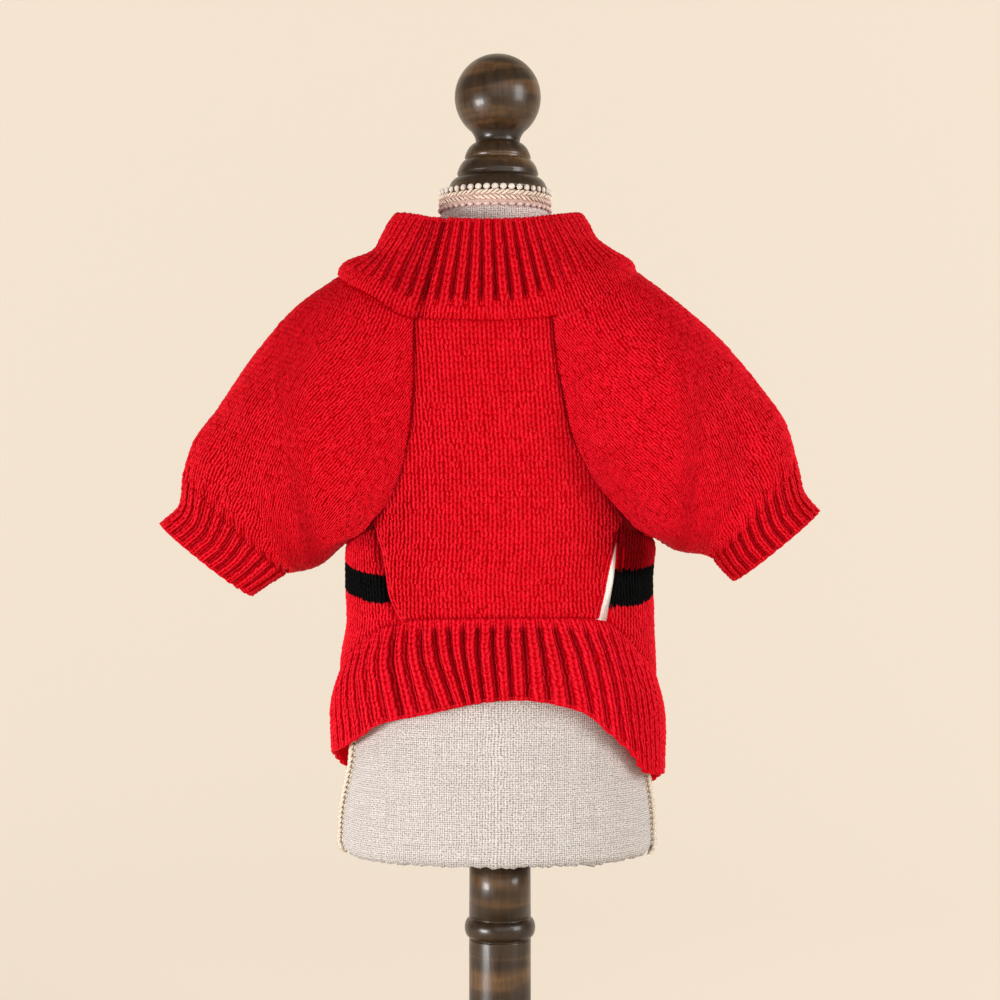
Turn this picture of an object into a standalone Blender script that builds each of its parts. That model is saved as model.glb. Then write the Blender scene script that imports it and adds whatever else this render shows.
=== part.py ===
"""A dog's raglan sweater, knitted in red with ribbed collar, cuffs and hem, worn by a small linen dress form.

Metres, +Z up. The belly side faces -Y and the origin is the centre of the base's underside. Sizes in the
tables are millimetres. Angles round the body are degrees from the front, positive towards +X.
"""

import math

import bmesh
import bpy
import numpy as np

MM = 0.001

# The cloth
WALL = 2.0  # plain knit
SEAM_GAP = 0.35  # between two pieces that are sewn together
RIB_HEIGHT = 1.3  # a rib's ridge over its groove
RIB_WALL = 1.6  # ribbed cloth under a groove
BODY_ROUNDNESS = 2.2  # 2 is an ellipse, and more is squarer
SLEEVE_ROUNDNESS = 2.15
COLLAR_RIBS = 60
HEM_RIBS = 64
CUFF_RIBS = 28

# The stand
BASE_RADIUS = 72.0
BASE_HEIGHT = 18.0
POLE_RADIUS = 13.9
POLE_RING_RADIUS = 15.9
POLE_RING_HEIGHT = 88.0
TORSO_BOTTOM = 122.5
NECK_TOP = 419.3
NECK_RADIUS = 24.0
TRIM_LOW, TRIM_HIGH = 409.0, 417.6
TRIM_RADIUS = 25.2
BALL_RADIUS = 19.2
BALL_CENTRE = 461.8
CAP_CENTRE, NECK_CENTRE = -1.0, -2.2  # the cap and neck stand a little off the pole's axis
REST_GAP = 0.3  # between two pieces that stand on each other
TORSO_SIDES = 40
TURNED_SIDES = 24

KNIT_RED = (0.62, 0.006, 0.018, 1.0)
LINEN = (0.66, 0.60, 0.54, 1.0)
BRAID = (0.62, 0.46, 0.38, 1.0)
WALNUT = (0.045, 0.022, 0.010, 1.0)


def smooth_read(places, values, at):
    """Reads values over places on a smooth curve that never swings past its points."""
    steps = np.diff(places)
    rises = np.diff(values, axis=0) / steps.reshape(-1, *[1] * (np.ndim(values) - 1))
    slopes = np.concatenate([rises[:1], np.zeros_like(rises[1:]), rises[-1:]])
    before, after = rises[:-1], rises[1:]
    onward = before * after > 0
    slopes[1:-1][onward] = 2 * before[onward] * after[onward] / (before + after)[onward]
    at = np.clip(at, places[0], places[-1])
    k = np.clip(np.searchsorted(places, at) - 1, 0, len(places) - 2)
    t = (at - places[k]) / steps[k]
    ease = t * t * (3 - 2 * t)
    bend = steps[k] * t * (1 - t) * (slopes[k] * (1 - t) - slopes[k + 1] * t)
    return values[k] * (1 - ease) + values[k + 1] * ease + bend


class Table:
    """Sizes in rows under named columns. The first column orders the rows, and the rest are read over it."""

    def __init__(self, columns, rows, turns=False):
        self.columns = columns.split()
        self.rows = np.array(rows, float)
        if turns:
            turn = np.zeros(len(self.columns))
            turn[0] = 360
            self.rows = np.vstack([self.rows - turn, self.rows, self.rows + turn])

    def column(self, name):
        return self.rows[:, self.columns.index(name)]

    def read(self, name, at):
        return smooth_read(self.rows[:, 0], self.column(name), at)


# The cloth's outer face where it covers the torso
BODY = Table(
    "height centre half_width front back",
    [
        (185, -1.0, 71.6, 51.5, 50.5),
        (208, -0.8, 70.7, 50.9, 49.9),
        (228, 0.2, 68.9, 50.2, 49.2),
        (245, -0.4, 69.0, 50.0, 49.0),
        (266, 0.6, 70.0, 50.3, 48.5),
        (295, 0.0, 71.0, 50.5, 48.0),
        (325, -2.0, 71.0, 50.0, 48.2),
        (345, -3.4, 70.0, 48.8, 47.6),
        (357, -4.2, 69.0, 47.5, 46.6),
        (373, -4.8, 67.6, 46.0, 45.2),
        (384, -4.8, 66.0, 44.5, 43.6),
    ],
)

# The two sides of the belly panel: raglan seams above the underarm, side seam and open slit below it
BELLY = Table(
    "height left right",
    [
        (226, -40.5, 41.8),
        (232, -45.0, 43.2),
        (240, -48.3, 45.2),
        (249, -49.7, 47.0),
        (258, -51.3, 49.2),
        (267, -53.8, 51.2),
        (278, -48.6, 46.2),
        (289, -43.2, 39.8),
        (298, -41.0, 35.0),
        (309, -39.2, 30.6),
        (323, -37.6, 27.6),
        (337, -37.2, 25.0),
        (352, -37.2, 23.2),
        (362, -37.2, 22.2),
    ],
)

# The front edges of the back panel: sewn to the belly on the left, standing off the slit on the right
BACK_EDGE = Table(
    "height left right",
    [
        (226, -40.5, 47.0),
        (232, -45.0, 47.8),
        (240, -48.3, 49.4),
        (249, -49.7, 50.8),
        (258, -51.3, 51.4),
        (267, -53.8, 51.8),
    ],
)

UNDERARM = 267.0
RAGLAN_TOP = 358.5  # where the front raglan seams meet the collar
UNDERARM_DIP = 4.0  # the seam hangs this much lower at the side
BACK_RAGLAN_LOW, BACK_RAGLAN_HIGH = 132.0, 153.0  # angles of the back raglan seams

COLLAR_SEAM = Table(
    "angle height",
    [
        (-90, 381.0),
        (-60, 373.5),
        (-45, 368.0),
        (-28, 358.6),
        (0, 356.8),
        (24, 359.6),
        (46, 371.0),
        (70, 379.5),
        (90, 382.4),
        (135, 378.0),
        (180, 373.0),
        (225, 377.0),
    ],
    turns=True,
)

COLLAR_LEVELS = Table(
    "level centre half_width front back front_height side_height back_height",
    [
        (0.20, -4.2, 63.8, 47.3, 44.2, 365.5, 386.5, 379.0),
        (0.45, -3.2, 53.4, 46.0, 42.6, 377.0, 392.5, 386.5),
        (0.65, -5.2, 48.6, 44.3, 41.0, 386.0, 397.5, 393.0),
        (0.85, -5.2, 45.3, 42.3, 39.4, 395.0, 403.8, 400.0),
        (1.00, -5.2, 42.0, 40.5, 38.0, 401.5, 408.3, 405.5),
    ],
)

# How far the collar's lower edge rolls out over the left sleeve
ROLL = Table("angle lift", [(-125, 0.0), (-90, 1.6), (-70, 3.4), (-50, 3.9), (-36, 3.6), (-27, 0.0)])

HEM_OUTLINE = Table(
    "angle seam edge",
    [
        (-135, 193.0, 150.5),
        (-113, 196.0, 156.5),
        (-90, 201.0, 166.0),
        (-68, 213.0, 171.0),
        (-55, 221.0, 176.0),
        (-42, 226.5, 183.3),
        (-24, 229.3, 188.0),
        (5, 229.8, 195.0),
        (28, 229.5, 189.0),
        (37, 228.6, 181.0),
        (51, 220.5, 169.6),
        (61, 213.0, 160.5),
        (90, 199.5, 157.0),
        (113, 195.0, 149.8),
        (135, 192.0, 147.5),
        (180, 188.5, 146.0),
    ],
    turns=True,
)
HEM_EDGE = {"centre": -0.9, "half_width": 74.6, "front": 52.8, "back": 51.2}
HEM_BELLY = 0.8  # how far the band swells out half-way down

# Sleeves: a row for each ring from the armhole outwards, by its top point, its lowest point and its half depth
SLEEVE_COLUMNS = "station top_x top_z under_x under_z half_depth"
SLEEVES = {
    "left": Table(
        SLEEVE_COLUMNS,
        [
            (1, -89.6, 368.0, -79.0, 252.0, 43.0),
            (2, -109.4, 346.0, -85.4, 248.8, 39.0),
            (3, -126.2, 321.5, -90.5, 247.8, 34.0),
            (4, -137.8, 305.7, -93.5, 247.4, 29.0),
            (5, -142.6, 291.0, -96.0, 246.8, 24.0),
        ],
    ),
    "right": Table(
        SLEEVE_COLUMNS,
        [
            (1, 77.3, 370.3, 79.0, 257.4, 43.0),
            (2, 98.3, 352.3, 84.5, 256.2, 39.0),
            (3, 115.5, 332.3, 89.5, 255.7, 34.0),
            (4, 128.1, 314.5, 92.8, 254.9, 29.0),
            (5, 133.8, 296.0, 96.0, 253.2, 24.0),
        ],
    ),
}
CUFFS = {
    "left": Table(
        SLEEVE_COLUMNS,
        [
            (0, -142.6, 291.0, -96.0, 246.8, 24.0),
            (0.5, -143.8, 279.2, -104.2, 241.6, 20.0),
            (1, -153.0, 269.7, -111.6, 236.6, 19.0),
        ],
    ),
    "right": Table(
        SLEEVE_COLUMNS,
        [
            (0, 133.8, 296.0, 96.0, 253.2, 24.0),
            (0.5, 136.6, 284.5, 100.0, 248.0, 20.0),
            (1, 143.8, 275.3, 104.8, 243.4, 19.0),
        ],
    ),
}

# Soft troughs in the sleeves. Ring angles start at the top point, and 90 faces the front.
CREASE_COLUMNS = "ring_angle spread depth start end"
CREASES = {
    "left": Table(
        CREASE_COLUMNS,
        [
            (48, 17, 2.6, 0.2, 2.2),
            (70, 13, 3.0, 2.8, 5.0),
            (113, 13, 1.8, 3.4, 5.0),
            (236, 15, 2.2, 3.0, 5.0),
            (290, 15, 2.8, 2.4, 5.0),
        ],
    ),
    "right": Table(
        CREASE_COLUMNS,
        [
            (78, 13, 3.2, 2.2, 5.0),
            (108, 12, 2.2, 3.2, 5.0),
            (128, 15, 2.6, 0.2, 2.2),
            (244, 15, 2.4, 2.8, 5.0),
            (296, 15, 2.4, 3.0, 5.0),
        ],
    ),
}

# How many columns each stretch of the armhole gets, from the top point round the front to the back
ARMHOLE_COLUMNS = {"collar": 9, "raglan": 9, "underarm": 4}
SLEEVE_ROWS = 10
BELLY_COLUMNS = 12
SIDE_ROWS = 8  # from the hem seam up to the underarm
BACK_SIDE_COLUMNS, BACK_HIP_COLUMNS, BACK_RAGLAN_COLUMNS, BACK_CENTRE_COLUMNS = 8, 4, 9, 6
COLLAR_ROWS = (0.0, 0.1, 0.24, 0.45, 0.65, 0.85, 1.0)
HEM_ROWS = (0.0, 0.16, 0.5, 1.0)
CUFF_ROWS = (0.0, 0.33, 0.68, 1.0)

TORSO = Table(
    "height centre half_width half_depth roundness",
    [
        (TORSO_BOTTOM, -1.2, 66.0, 43.6, 2.2),
        (124.2, -1.2, 68.2, 45.6, 2.2),
        (128.0, -1.2, 69.2, 46.5, 2.2),
        (138.0, -1.2, 69.2, 46.6, 2.2),
        (160.0, -1.2, 67.4, 46.0, 2.2),
        (190.0, -1.0, 65.4, 45.0, 2.2),
        (226.0, -0.8, 64.4, 44.2, 2.2),
        (262.0, -0.6, 64.6, 44.0, 2.2),
        (294.0, -0.6, 65.6, 44.4, 2.2),
        (325.0, -0.8, 66.6, 45.0, 2.2),
        (345.0, -1.0, 66.0, 44.2, 2.2),
        (360.0, -1.4, 64.0, 42.2, 2.2),
        (372.0, -1.8, 60.8, 39.4, 2.15),
        (380.0, -2.0, 56.8, 36.4, 2.1),
        (388.0, NECK_CENTRE, 49.6, 33.0, 2.05),
        (395.0, NECK_CENTRE, 39.0, 29.6, 2.0),
        (400.0, NECK_CENTRE, 29.0, 26.6, 2.0),
        (403.5, NECK_CENTRE, 25.4, 25.2, 2.0),
        (TRIM_LOW - 0.6, NECK_CENTRE, 24.9, 24.9, 2.0),
        (TRIM_LOW - 0.3, NECK_CENTRE, NECK_RADIUS, NECK_RADIUS, 2.0),
        (NECK_TOP, NECK_CENTRE, NECK_RADIUS, NECK_RADIUS, 2.0),
    ],
)


def bent(value, roundness):
    return np.sign(value) * np.abs(value) ** (2 / roundness)


def oval(angle, centre, half_width, front, back, roundness=BODY_ROUNDNESS):
    """x and y on an oval, whose front and back halves have their own depths."""
    turned = np.radians(angle)
    depth = np.where(np.cos(turned) > 0, front, back)
    return centre + half_width * bent(np.sin(turned), roundness), -depth * bent(np.cos(turned), roundness)


def body_surface(angle, height):
    angle, height = np.broadcast_arrays(np.asarray(angle, float), np.asarray(height, float))
    sizes = [BODY.read(name, height) for name in ("centre", "half_width", "front", "back")]
    x, y = oval(angle, *sizes)
    return np.stack([x, y, height], axis=-1)


def body_normals(points):
    """Unit normals of the body surface at points that lie on it."""

    def reach(place):
        height = place[..., 2]
        depth = np.where(place[..., 1] < 0, BODY.read("front", height), BODY.read("back", height))
        across = np.abs((place[..., 0] - BODY.read("centre", height)) / BODY.read("half_width", height))
        return across**BODY_ROUNDNESS + np.abs(place[..., 1] / depth) ** BODY_ROUNDNESS

    step = 0.05 * np.eye(3)
    slopes = np.stack([reach(points + way) - reach(points - way) for way in step], axis=-1)
    return slopes / np.linalg.norm(slopes, axis=-1, keepdims=True)


def front_angle(x, height):
    """The angle at which the front of the body has this x."""
    across = (x - BODY.read("centre", height)) / BODY.read("half_width", height)
    return np.degrees(np.arcsin(np.sign(across) * np.abs(across) ** (BODY_ROUNDNESS / 2)))


def collar_surface(angle, level):
    """The collar's outer face, from its seam at level 0 to its top edge at level 1."""
    seam = body_surface(angle, COLLAR_SEAM.read("height", angle))
    levels = COLLAR_LEVELS.column("level")
    ahead = np.cos(np.radians(angle))
    rings = [seam]
    for place in levels:
        sizes = [COLLAR_LEVELS.read(name, place) for name in ("centre", "half_width", "front", "back")]
        x, y = oval(angle, *sizes)
        side = COLLAR_LEVELS.read("side_height", place)
        facing = COLLAR_LEVELS.read("front_height", place)
        behind = COLLAR_LEVELS.read("back_height", place)
        height = side + np.where(ahead > 0, facing - side, behind - side) * ahead**2
        rings.append(np.stack([x, y, height], axis=-1))
    return smooth_read(np.concatenate([[0.0], levels]), np.array(rings), level)


def hem_surface(angle, level):
    """The hem band's outer face, from its seam at level 0 to its free edge at level 1."""
    seam = body_surface(angle, HEM_OUTLINE.read("seam", angle))
    x, y = oval(angle, **HEM_EDGE)
    edge = np.stack([x, y, HEM_OUTLINE.read("edge", angle)], axis=-1)
    spread = math.sin(math.pi / 2 * min(1.0, level / 0.5))
    swell = 1 + HEM_BELLY / HEM_EDGE["half_width"] * math.sin(math.pi * level)
    point = seam * (1 - spread) + edge * spread
    point[:, :2] *= swell
    point[:, 2] = seam[:, 2] * (1 - level) + edge[:, 2] * level
    return point


def even_angles(count, surface, level):
    """Angles that part the loop at this level into even lengths, the first at the back."""
    fine = np.linspace(-180, 180, 1441)
    loop = surface(fine, level)
    lengths = np.linalg.norm(np.diff(loop, axis=0), axis=1)
    along = np.concatenate([[0], np.cumsum(lengths)])
    return np.interp(np.arange(count) / count * along[-1], along, fine)


def tube_normals(grid):
    """Unit normals of a tube of points, ring by ring, facing away from its inside."""
    around = np.roll(grid, -1, axis=1) - np.roll(grid, 1, axis=1)
    normals = np.cross(around, np.gradient(grid, axis=0))
    normals /= np.linalg.norm(normals, axis=2, keepdims=True)
    facing = ((grid - grid.mean(axis=1, keepdims=True)) * normals).sum()
    return normals if facing > 0 else -normals


def laid_in_ring(normals, ring):
    """The normals laid into a flat ring's plane, so that two walls meet there face to face."""
    quarter = len(ring) // 4
    axis = np.cross(ring[quarter] - ring[0], ring[2 * quarter] - ring[0])
    axis /= np.linalg.norm(axis)
    flat = normals - (normals @ axis)[:, None] * axis
    return flat / np.linalg.norm(flat, axis=1, keepdims=True)


def collar_seam_normals(angle):
    """Which way the cloth faces at the collar seam: as the body in front and behind, as the collar at the sides."""
    seam = collar_surface(angle, 0.0)
    around = collar_surface(angle + 0.5, 0.0) - collar_surface(angle - 0.5, 0.0)
    sloping = np.cross(around, collar_surface(angle, 0.03) - seam)
    sloping /= np.linalg.norm(sloping, axis=1, keepdims=True)
    ahead = np.cos(np.radians(angle))[:, None] ** 2
    mixed = body_normals(seam) * ahead + sloping * (1 - ahead)
    return mixed / np.linalg.norm(mixed, axis=1, keepdims=True)


def new_object(name, mesh, colour, roughness):
    material = bpy.data.materials.new(name)
    material.use_nodes = True
    shader = material.node_tree.nodes["Principled BSDF"]
    shader.inputs["Base Color"].default_value = colour
    shader.inputs["Roughness"].default_value = roughness
    shader.inputs["Metallic"].default_value = 0.0
    material.diffuse_color = colour
    mesh.materials.append(material)
    made = bpy.data.objects.new(name, mesh)
    bpy.context.scene.collection.objects.link(made)
    return made


def finish_mesh(name, shape, sharp_angle=40):
    bmesh.ops.recalc_face_normals(shape, faces=shape.faces)
    if shape.calc_volume(signed=True) < 0:
        bmesh.ops.reverse_faces(shape, faces=shape.faces)
    mesh = bpy.data.meshes.new(name)
    shape.to_mesh(mesh)
    shape.free()
    mesh.shade_smooth()
    mesh.set_sharp_from_angle(angle=math.radians(sharp_angle))
    return mesh


def add_points(shape, grid):
    return [[shape.verts.new(point * MM) for point in row] for row in grid]


def fill_grid(shape, points, closed):
    columns = len(points[0])
    for low, high in zip(points, points[1:]):
        for j in range(columns if closed else columns - 1):
            k = (j + 1) % columns
            shape.faces.new((low[j], low[k], high[k], high[j]))


def join_rims(shape, outer, inner, closed):
    """Closes the edge between an outer row and an inner row, which may have fewer points."""
    share = len(outer) // len(inner) if closed else 1
    for i in range(len(inner) if closed else len(inner) - 1):
        ahead = inner[(i + 1) % len(inner)]
        stretch = [outer[(i * share + s) % len(outer)] for s in range(share + 1)]
        half = share // 2
        for s in range(half):
            shape.faces.new((stretch[s], stretch[s + 1], inner[i]))
        shape.faces.new((stretch[half], ahead, inner[i]))
        for s in range(half, share):
            shape.faces.new((stretch[s], stretch[s + 1], ahead))


def knitted_wall(name, outer, inner, closed):
    """One solid between an outer and an inner grid of points."""
    shape = bmesh.new()
    outside = add_points(shape, outer)
    inside = add_points(shape, inner)
    fill_grid(shape, outside, closed)
    fill_grid(shape, inside, closed)
    join_rims(shape, outside[0], inside[0], closed)
    join_rims(shape, outside[-1], inside[-1], closed)
    if not closed:
        for column in (0, -1):
            join_rims(shape, [row[column] for row in outside], [row[column] for row in inside], False)
    return new_object(name, finish_mesh(name, shape), KNIT_RED, 0.9)


def plain_piece(name, outer, normals, closed=False):
    return knitted_wall(name, outer, outer - WALL * normals, closed)


def ribbed_piece(name, outer, normals, relief):
    """A ribbed tube. Every second column is a groove, and relief gives each row's share of the full rib."""
    ribbed = outer.copy()
    ribbed[:, 1::2] -= (RIB_HEIGHT * np.array(relief))[:, None, None] * normals[:, 1::2]
    inner = outer[:, ::2] - (RIB_HEIGHT + RIB_WALL) * normals[:, ::2]
    return knitted_wall(name, ribbed, inner, True)


def moved_along(grid, distance):
    """The grid with its first row moved towards its second."""
    way = grid[1] - grid[0]
    grid = grid.copy()
    grid[0] += np.reshape(distance, (-1, 1)) * way / np.linalg.norm(way, axis=1, keepdims=True)
    return grid


def seam_rows(angle, height_at_collar):
    """Heights of the belly panel's rows at an angle, from the hem seam past the underarm to the collar."""
    low = HEM_OUTLINE.read("seam", angle)
    side = np.arange(SIDE_ROWS) / SIDE_ROWS
    raglan = np.arange(ARMHOLE_COLUMNS["raglan"] + 1) / ARMHOLE_COLUMNS["raglan"]
    below = low + (UNDERARM - low) * side
    above = UNDERARM + (height_at_collar - UNDERARM) * raglan
    return np.concatenate([below, above])


def raglan_top(edge):
    """The angle at which a front raglan seam meets the collar."""
    return front_angle(BELLY.read(edge, RAGLAN_TOP), RAGLAN_TOP)


def side_angle(table, edge):
    """The angle at which a side of the belly or back panel meets the hem band."""
    angle = 0.0
    for _ in range(30):
        height = HEM_OUTLINE.read("seam", angle)
        angle = float(front_angle(table.read(edge, height), height))
    return angle


def build_belly_panel():
    edges = {}
    for edge in ("left", "right"):
        height = seam_rows(side_angle(BELLY, edge), COLLAR_SEAM.read("height", raglan_top(edge)))
        edges[edge] = BELLY.read(edge, height)
    edges["left"][: SIDE_ROWS + 1] += 1.3 * SEAM_GAP
    level = seam_rows(0.0, COLLAR_SEAM.read("height", 0.0))
    columns = []
    for share in np.linspace(0, 1, BELLY_COLUMNS + 1):
        x = edges["left"] + (edges["right"] - edges["left"]) * share
        low, high = front_angle(x[0], level[0]), front_angle(x[-1], level[-1])
        height = seam_rows(low, COLLAR_SEAM.read("height", high))
        columns.append(body_surface(front_angle(x, height), height))
    grid = np.array(columns).transpose(1, 0, 2)
    return plain_piece("belly_panel", grid, body_normals(grid))


def underarm_corner(side):
    """The angle at which a front raglan seam meets the underarm."""
    return front_angle(BELLY.read("left" if side < 0 else "right", UNDERARM), UNDERARM)


def underarm_height(side, angle):
    """The underarm seam, lowest at the side of the body."""
    start = underarm_corner(side)
    share = np.clip((angle - start) / (side * BACK_RAGLAN_LOW - start), 0, 1)
    return UNDERARM - UNDERARM_DIP * np.sin(np.pi * share)


def back_raglan(side, share):
    """A back raglan seam from the underarm at share 0 to the collar at share 1."""
    angle = side * (BACK_RAGLAN_LOW + (BACK_RAGLAN_HIGH - BACK_RAGLAN_LOW) * share)
    high = COLLAR_SEAM.read("height", side * BACK_RAGLAN_HIGH)
    return angle, UNDERARM + (high - UNDERARM) * share


def back_half(side):
    """Columns of the back panel from its front edge to just before the centre back."""
    edge = "left" if side < 0 else "right"
    rows = np.linspace(0, 1, SIDE_ROWS + 1)
    low = HEM_OUTLINE.read("seam", side_angle(BACK_EDGE, edge))
    height = low + (UNDERARM - low) * rows
    start = front_angle(BACK_EDGE.read(edge, height), height)
    columns = []
    for share in np.linspace(0, 1, BACK_SIDE_COLUMNS, endpoint=False):
        angle = start + (side * 90 - start) * share
        low, high = HEM_OUTLINE.read("seam", angle[0]), underarm_height(side, angle[-1]) - SEAM_GAP
        columns.append(body_surface(angle, low + (high - low) * rows))
    for angle in side * np.linspace(90, BACK_RAGLAN_LOW, BACK_HIP_COLUMNS, endpoint=False):
        low, high = HEM_OUTLINE.read("seam", angle), underarm_height(side, angle) - SEAM_GAP
        columns.append(body_surface(angle, low + (high - low) * rows))
    for share in np.linspace(0, 1, BACK_RAGLAN_COLUMNS, endpoint=False):
        angle, high = back_raglan(side, share)
        low = HEM_OUTLINE.read("seam", angle)
        columns.append(body_surface(angle, low + (high - SEAM_GAP - low) * rows))
    return columns


def build_back_panel():
    rows = np.linspace(0, 1, SIDE_ROWS + 1)
    centre = []
    for angle in np.linspace(-BACK_RAGLAN_HIGH, BACK_RAGLAN_HIGH - 360, BACK_CENTRE_COLUMNS + 1):
        low, high = HEM_OUTLINE.read("seam", angle), COLLAR_SEAM.read("height", angle)
        centre.append(body_surface(angle, low + (high - low) * rows))
    columns = back_half(-1) + centre + back_half(1)[::-1]
    grid = np.array(columns).transpose(1, 0, 2)
    return plain_piece("back_panel", grid, body_normals(grid))


def armhole(side):
    """The loop that a sleeve is sewn to, from the shoulder round the front, the underarm and the back.

    Gives its points and which way the sleeve's cloth faces at each.
    """
    edge = "left" if side < 0 else "right"
    corner = raglan_top(edge)
    by_collar = np.arange(ARMHOLE_COLUMNS["collar"]) / ARMHOLE_COLUMNS["collar"]
    by_raglan = np.arange(ARMHOLE_COLUMNS["raglan"]) / ARMHOLE_COLUMNS["raglan"]
    by_underarm = np.arange(ARMHOLE_COLUMNS["underarm"]) / ARMHOLE_COLUMNS["underarm"]

    front_top = side * 90 + (corner - side * 90) * by_collar
    back_top = side * (BACK_RAGLAN_HIGH + (90 - BACK_RAGLAN_HIGH) * by_collar)
    high = COLLAR_SEAM.read("height", corner)
    height = high + (UNDERARM - high) * by_raglan
    front = body_surface(front_angle(BELLY.read(edge, height), height), height)
    start = underarm_corner(side)
    under_front = start + (side * 90 - start) * by_underarm
    under_back = side * (90 + (BACK_RAGLAN_LOW - 90) * by_underarm)
    under_angle = np.concatenate([under_front, under_back])
    under = body_surface(under_angle, underarm_height(side, under_angle))
    back = body_surface(*back_raglan(side, by_raglan))

    share = (under_angle - start) / (side * BACK_RAGLAN_LOW - start)
    downward = np.minimum(1, 0.35 + 2 * np.sin(np.pi * share))[:, None]
    under_facing = body_normals(under) * (1 - downward) + np.array([0, 0, -1.0]) * downward
    under_facing /= np.linalg.norm(under_facing, axis=1, keepdims=True)
    points = [collar_surface(front_top, 0.0), front, under, back, collar_surface(back_top, 0.0)]
    facing = [
        collar_seam_normals(front_top),
        body_normals(front),
        under_facing,
        body_normals(back),
        collar_seam_normals(back_top),
    ]
    return np.vstack(points), np.vstack(facing)


def sleeve_ring(table, station, ring_angle):
    """A ring of a sleeve or cuff. Ring angle 0 is its top point and 90 faces the front."""
    top = np.array([table.read("top_x", station), 0, table.read("top_z", station)])
    under = np.array([table.read("under_x", station), 0, table.read("under_z", station)])
    turned = np.radians(ring_angle)
    reach = bent(np.cos(turned), SLEEVE_ROUNDNESS)[:, None]
    depth = table.read("half_depth", station) * bent(np.sin(turned), SLEEVE_ROUNDNESS)
    ring = (top + under) / 2 + (top - under) / 2 * reach
    ring[:, 1] = -depth
    return ring


def crease_depth(table, station, ring_angle):
    """How far the troughs draw the cloth in at each place of a ring."""
    depth = np.zeros_like(ring_angle)
    for centre, spread, deepest, start, end in table.rows:
        along = np.clip((station - start) / (end - start), 0, 1)
        off = (ring_angle - centre + 180) % 360 - 180
        depth += deepest * math.sin(math.pi * along) * np.exp(-((off / spread) ** 2))
    return depth


def build_sleeve(name):
    start, facing = armhole(-1 if name == "left" else 1)
    table = SLEEVES[name]
    ring_angle = np.arange(len(start)) * 360 / len(start)
    stations = np.concatenate([[0.0], table.column("station")])
    key_rings = np.array([start] + [sleeve_ring(table, s, ring_angle) for s in stations[1:]])
    places = np.linspace(0, stations[-1], SLEEVE_ROWS + 1)
    grid = np.array([smooth_read(stations, key_rings, place) for place in places])
    normals = tube_normals(grid)
    for row, place in enumerate(places):
        grid[row] -= crease_depth(CREASES[name], place, ring_angle)[:, None] * normals[row]
    normals = tube_normals(grid)
    normals[0] = facing
    normals[-1] = laid_in_ring(normals[-1], grid[-1])
    gaps = np.full(len(start), 1.5 * SEAM_GAP)
    gaps[: ARMHOLE_COLUMNS["collar"]] = 0.0
    gaps[1 - ARMHOLE_COLUMNS["collar"] :] = 0.0
    return plain_piece(f"sleeve_{name}", moved_along(grid, gaps), normals, closed=True)


def build_cuff(name):
    columns = 2 * CUFF_RIBS
    ring_angle = np.arange(columns) * 360 / columns
    grid = np.array([sleeve_ring(CUFFS[name], station, ring_angle) for station in CUFF_ROWS])
    normals = tube_normals(grid)
    normals[0] = laid_in_ring(normals[0], grid[0])
    return ribbed_piece(f"cuff_{name}", moved_along(grid, SEAM_GAP), normals, (0.4, 1, 1, 0.8))


def build_collar():
    angles = even_angles(2 * COLLAR_RIBS, collar_surface, 0.5)
    grid = np.array([collar_surface(angles, level) for level in COLLAR_ROWS])
    normals = tube_normals(grid)
    normals[0] = collar_seam_normals(angles)
    grid = moved_along(grid, 1.4 * SEAM_GAP)
    for row, share in enumerate((1.0, 1.0, 0.25)):
        grid[row] += share * ROLL.read("lift", angles)[:, None] * normals[row]
    return ribbed_piece("collar", grid, normals, (0.25, 0.6, 1, 1, 1, 1, 0.8))


def build_hem_band():
    angles = even_angles(2 * HEM_RIBS, hem_surface, 0.5)
    grid = np.array([hem_surface(angles, level) for level in HEM_ROWS])
    normals = tube_normals(grid)
    normals[0] = body_normals(grid[0])
    return ribbed_piece("hem_band", moved_along(grid, 1.5 * SEAM_GAP), normals, (0.35, 1, 1, 0.8))


def build_torso():
    angle = np.arange(TORSO_SIDES) * 360 / TORSO_SIDES
    shape = bmesh.new()
    rings = []
    for height, centre, half_width, half_depth, roundness in TORSO.rows:
        x, y = oval(angle, centre, half_width, half_depth, half_depth, roundness)
        rings.append(np.stack([x, y, np.full_like(x, height)], axis=-1))
    points = add_points(shape, rings)
    fill_grid(shape, points, True)
    shape.faces.new(points[0])
    shape.faces.new(points[-1])
    return new_object("form_torso", finish_mesh("form_torso", shape, 50), LINEN, 0.85)


def turned(name, profile, colour, roughness, sides=TURNED_SIDES, centre=0.0):
    """A turned piece. The profile gives radius and height; ends on the axis close by themselves."""
    shape = bmesh.new()
    points = [shape.verts.new(((centre + radius) * MM, 0, height * MM)) for radius, height in profile]
    if profile[0][0] > 0:
        points.append(points[0])
    edges = [shape.edges.new(pair) for pair in zip(points, points[1:])]
    bmesh.ops.spin(
        shape,
        geom=list(shape.verts) + edges,
        cent=(centre * MM, 0, 0),
        axis=(0, 0, 1),
        angle=2 * math.pi,
        steps=sides,
        use_merge=True,
    )
    bmesh.ops.remove_doubles(shape, verts=shape.verts, dist=1e-6)
    return new_object(name, finish_mesh(name, shape, 35), colour, roughness)


def bead(radius, swell, low, high, steps=4):
    """Profile points of a turned bead that swells out between two heights."""
    points = []
    for step in range(steps + 1):
        turn = math.pi * step / steps
        height = (low + high) / 2 - (high - low) / 2 * math.cos(turn)
        points.append((radius + swell * math.sin(turn), height))
    return points


def tier(bottom_radius, top_radius, low, high, steps=3):
    """Profile points of a rounded step of the cap, widest at its foot."""
    points = []
    for step in range(steps + 1):
        turn = math.pi / 2 * step / steps
        radius = top_radius + (bottom_radius - top_radius) * math.cos(turn)
        points.append((radius, low + (high - low) * math.sin(turn)))
    return points


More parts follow.
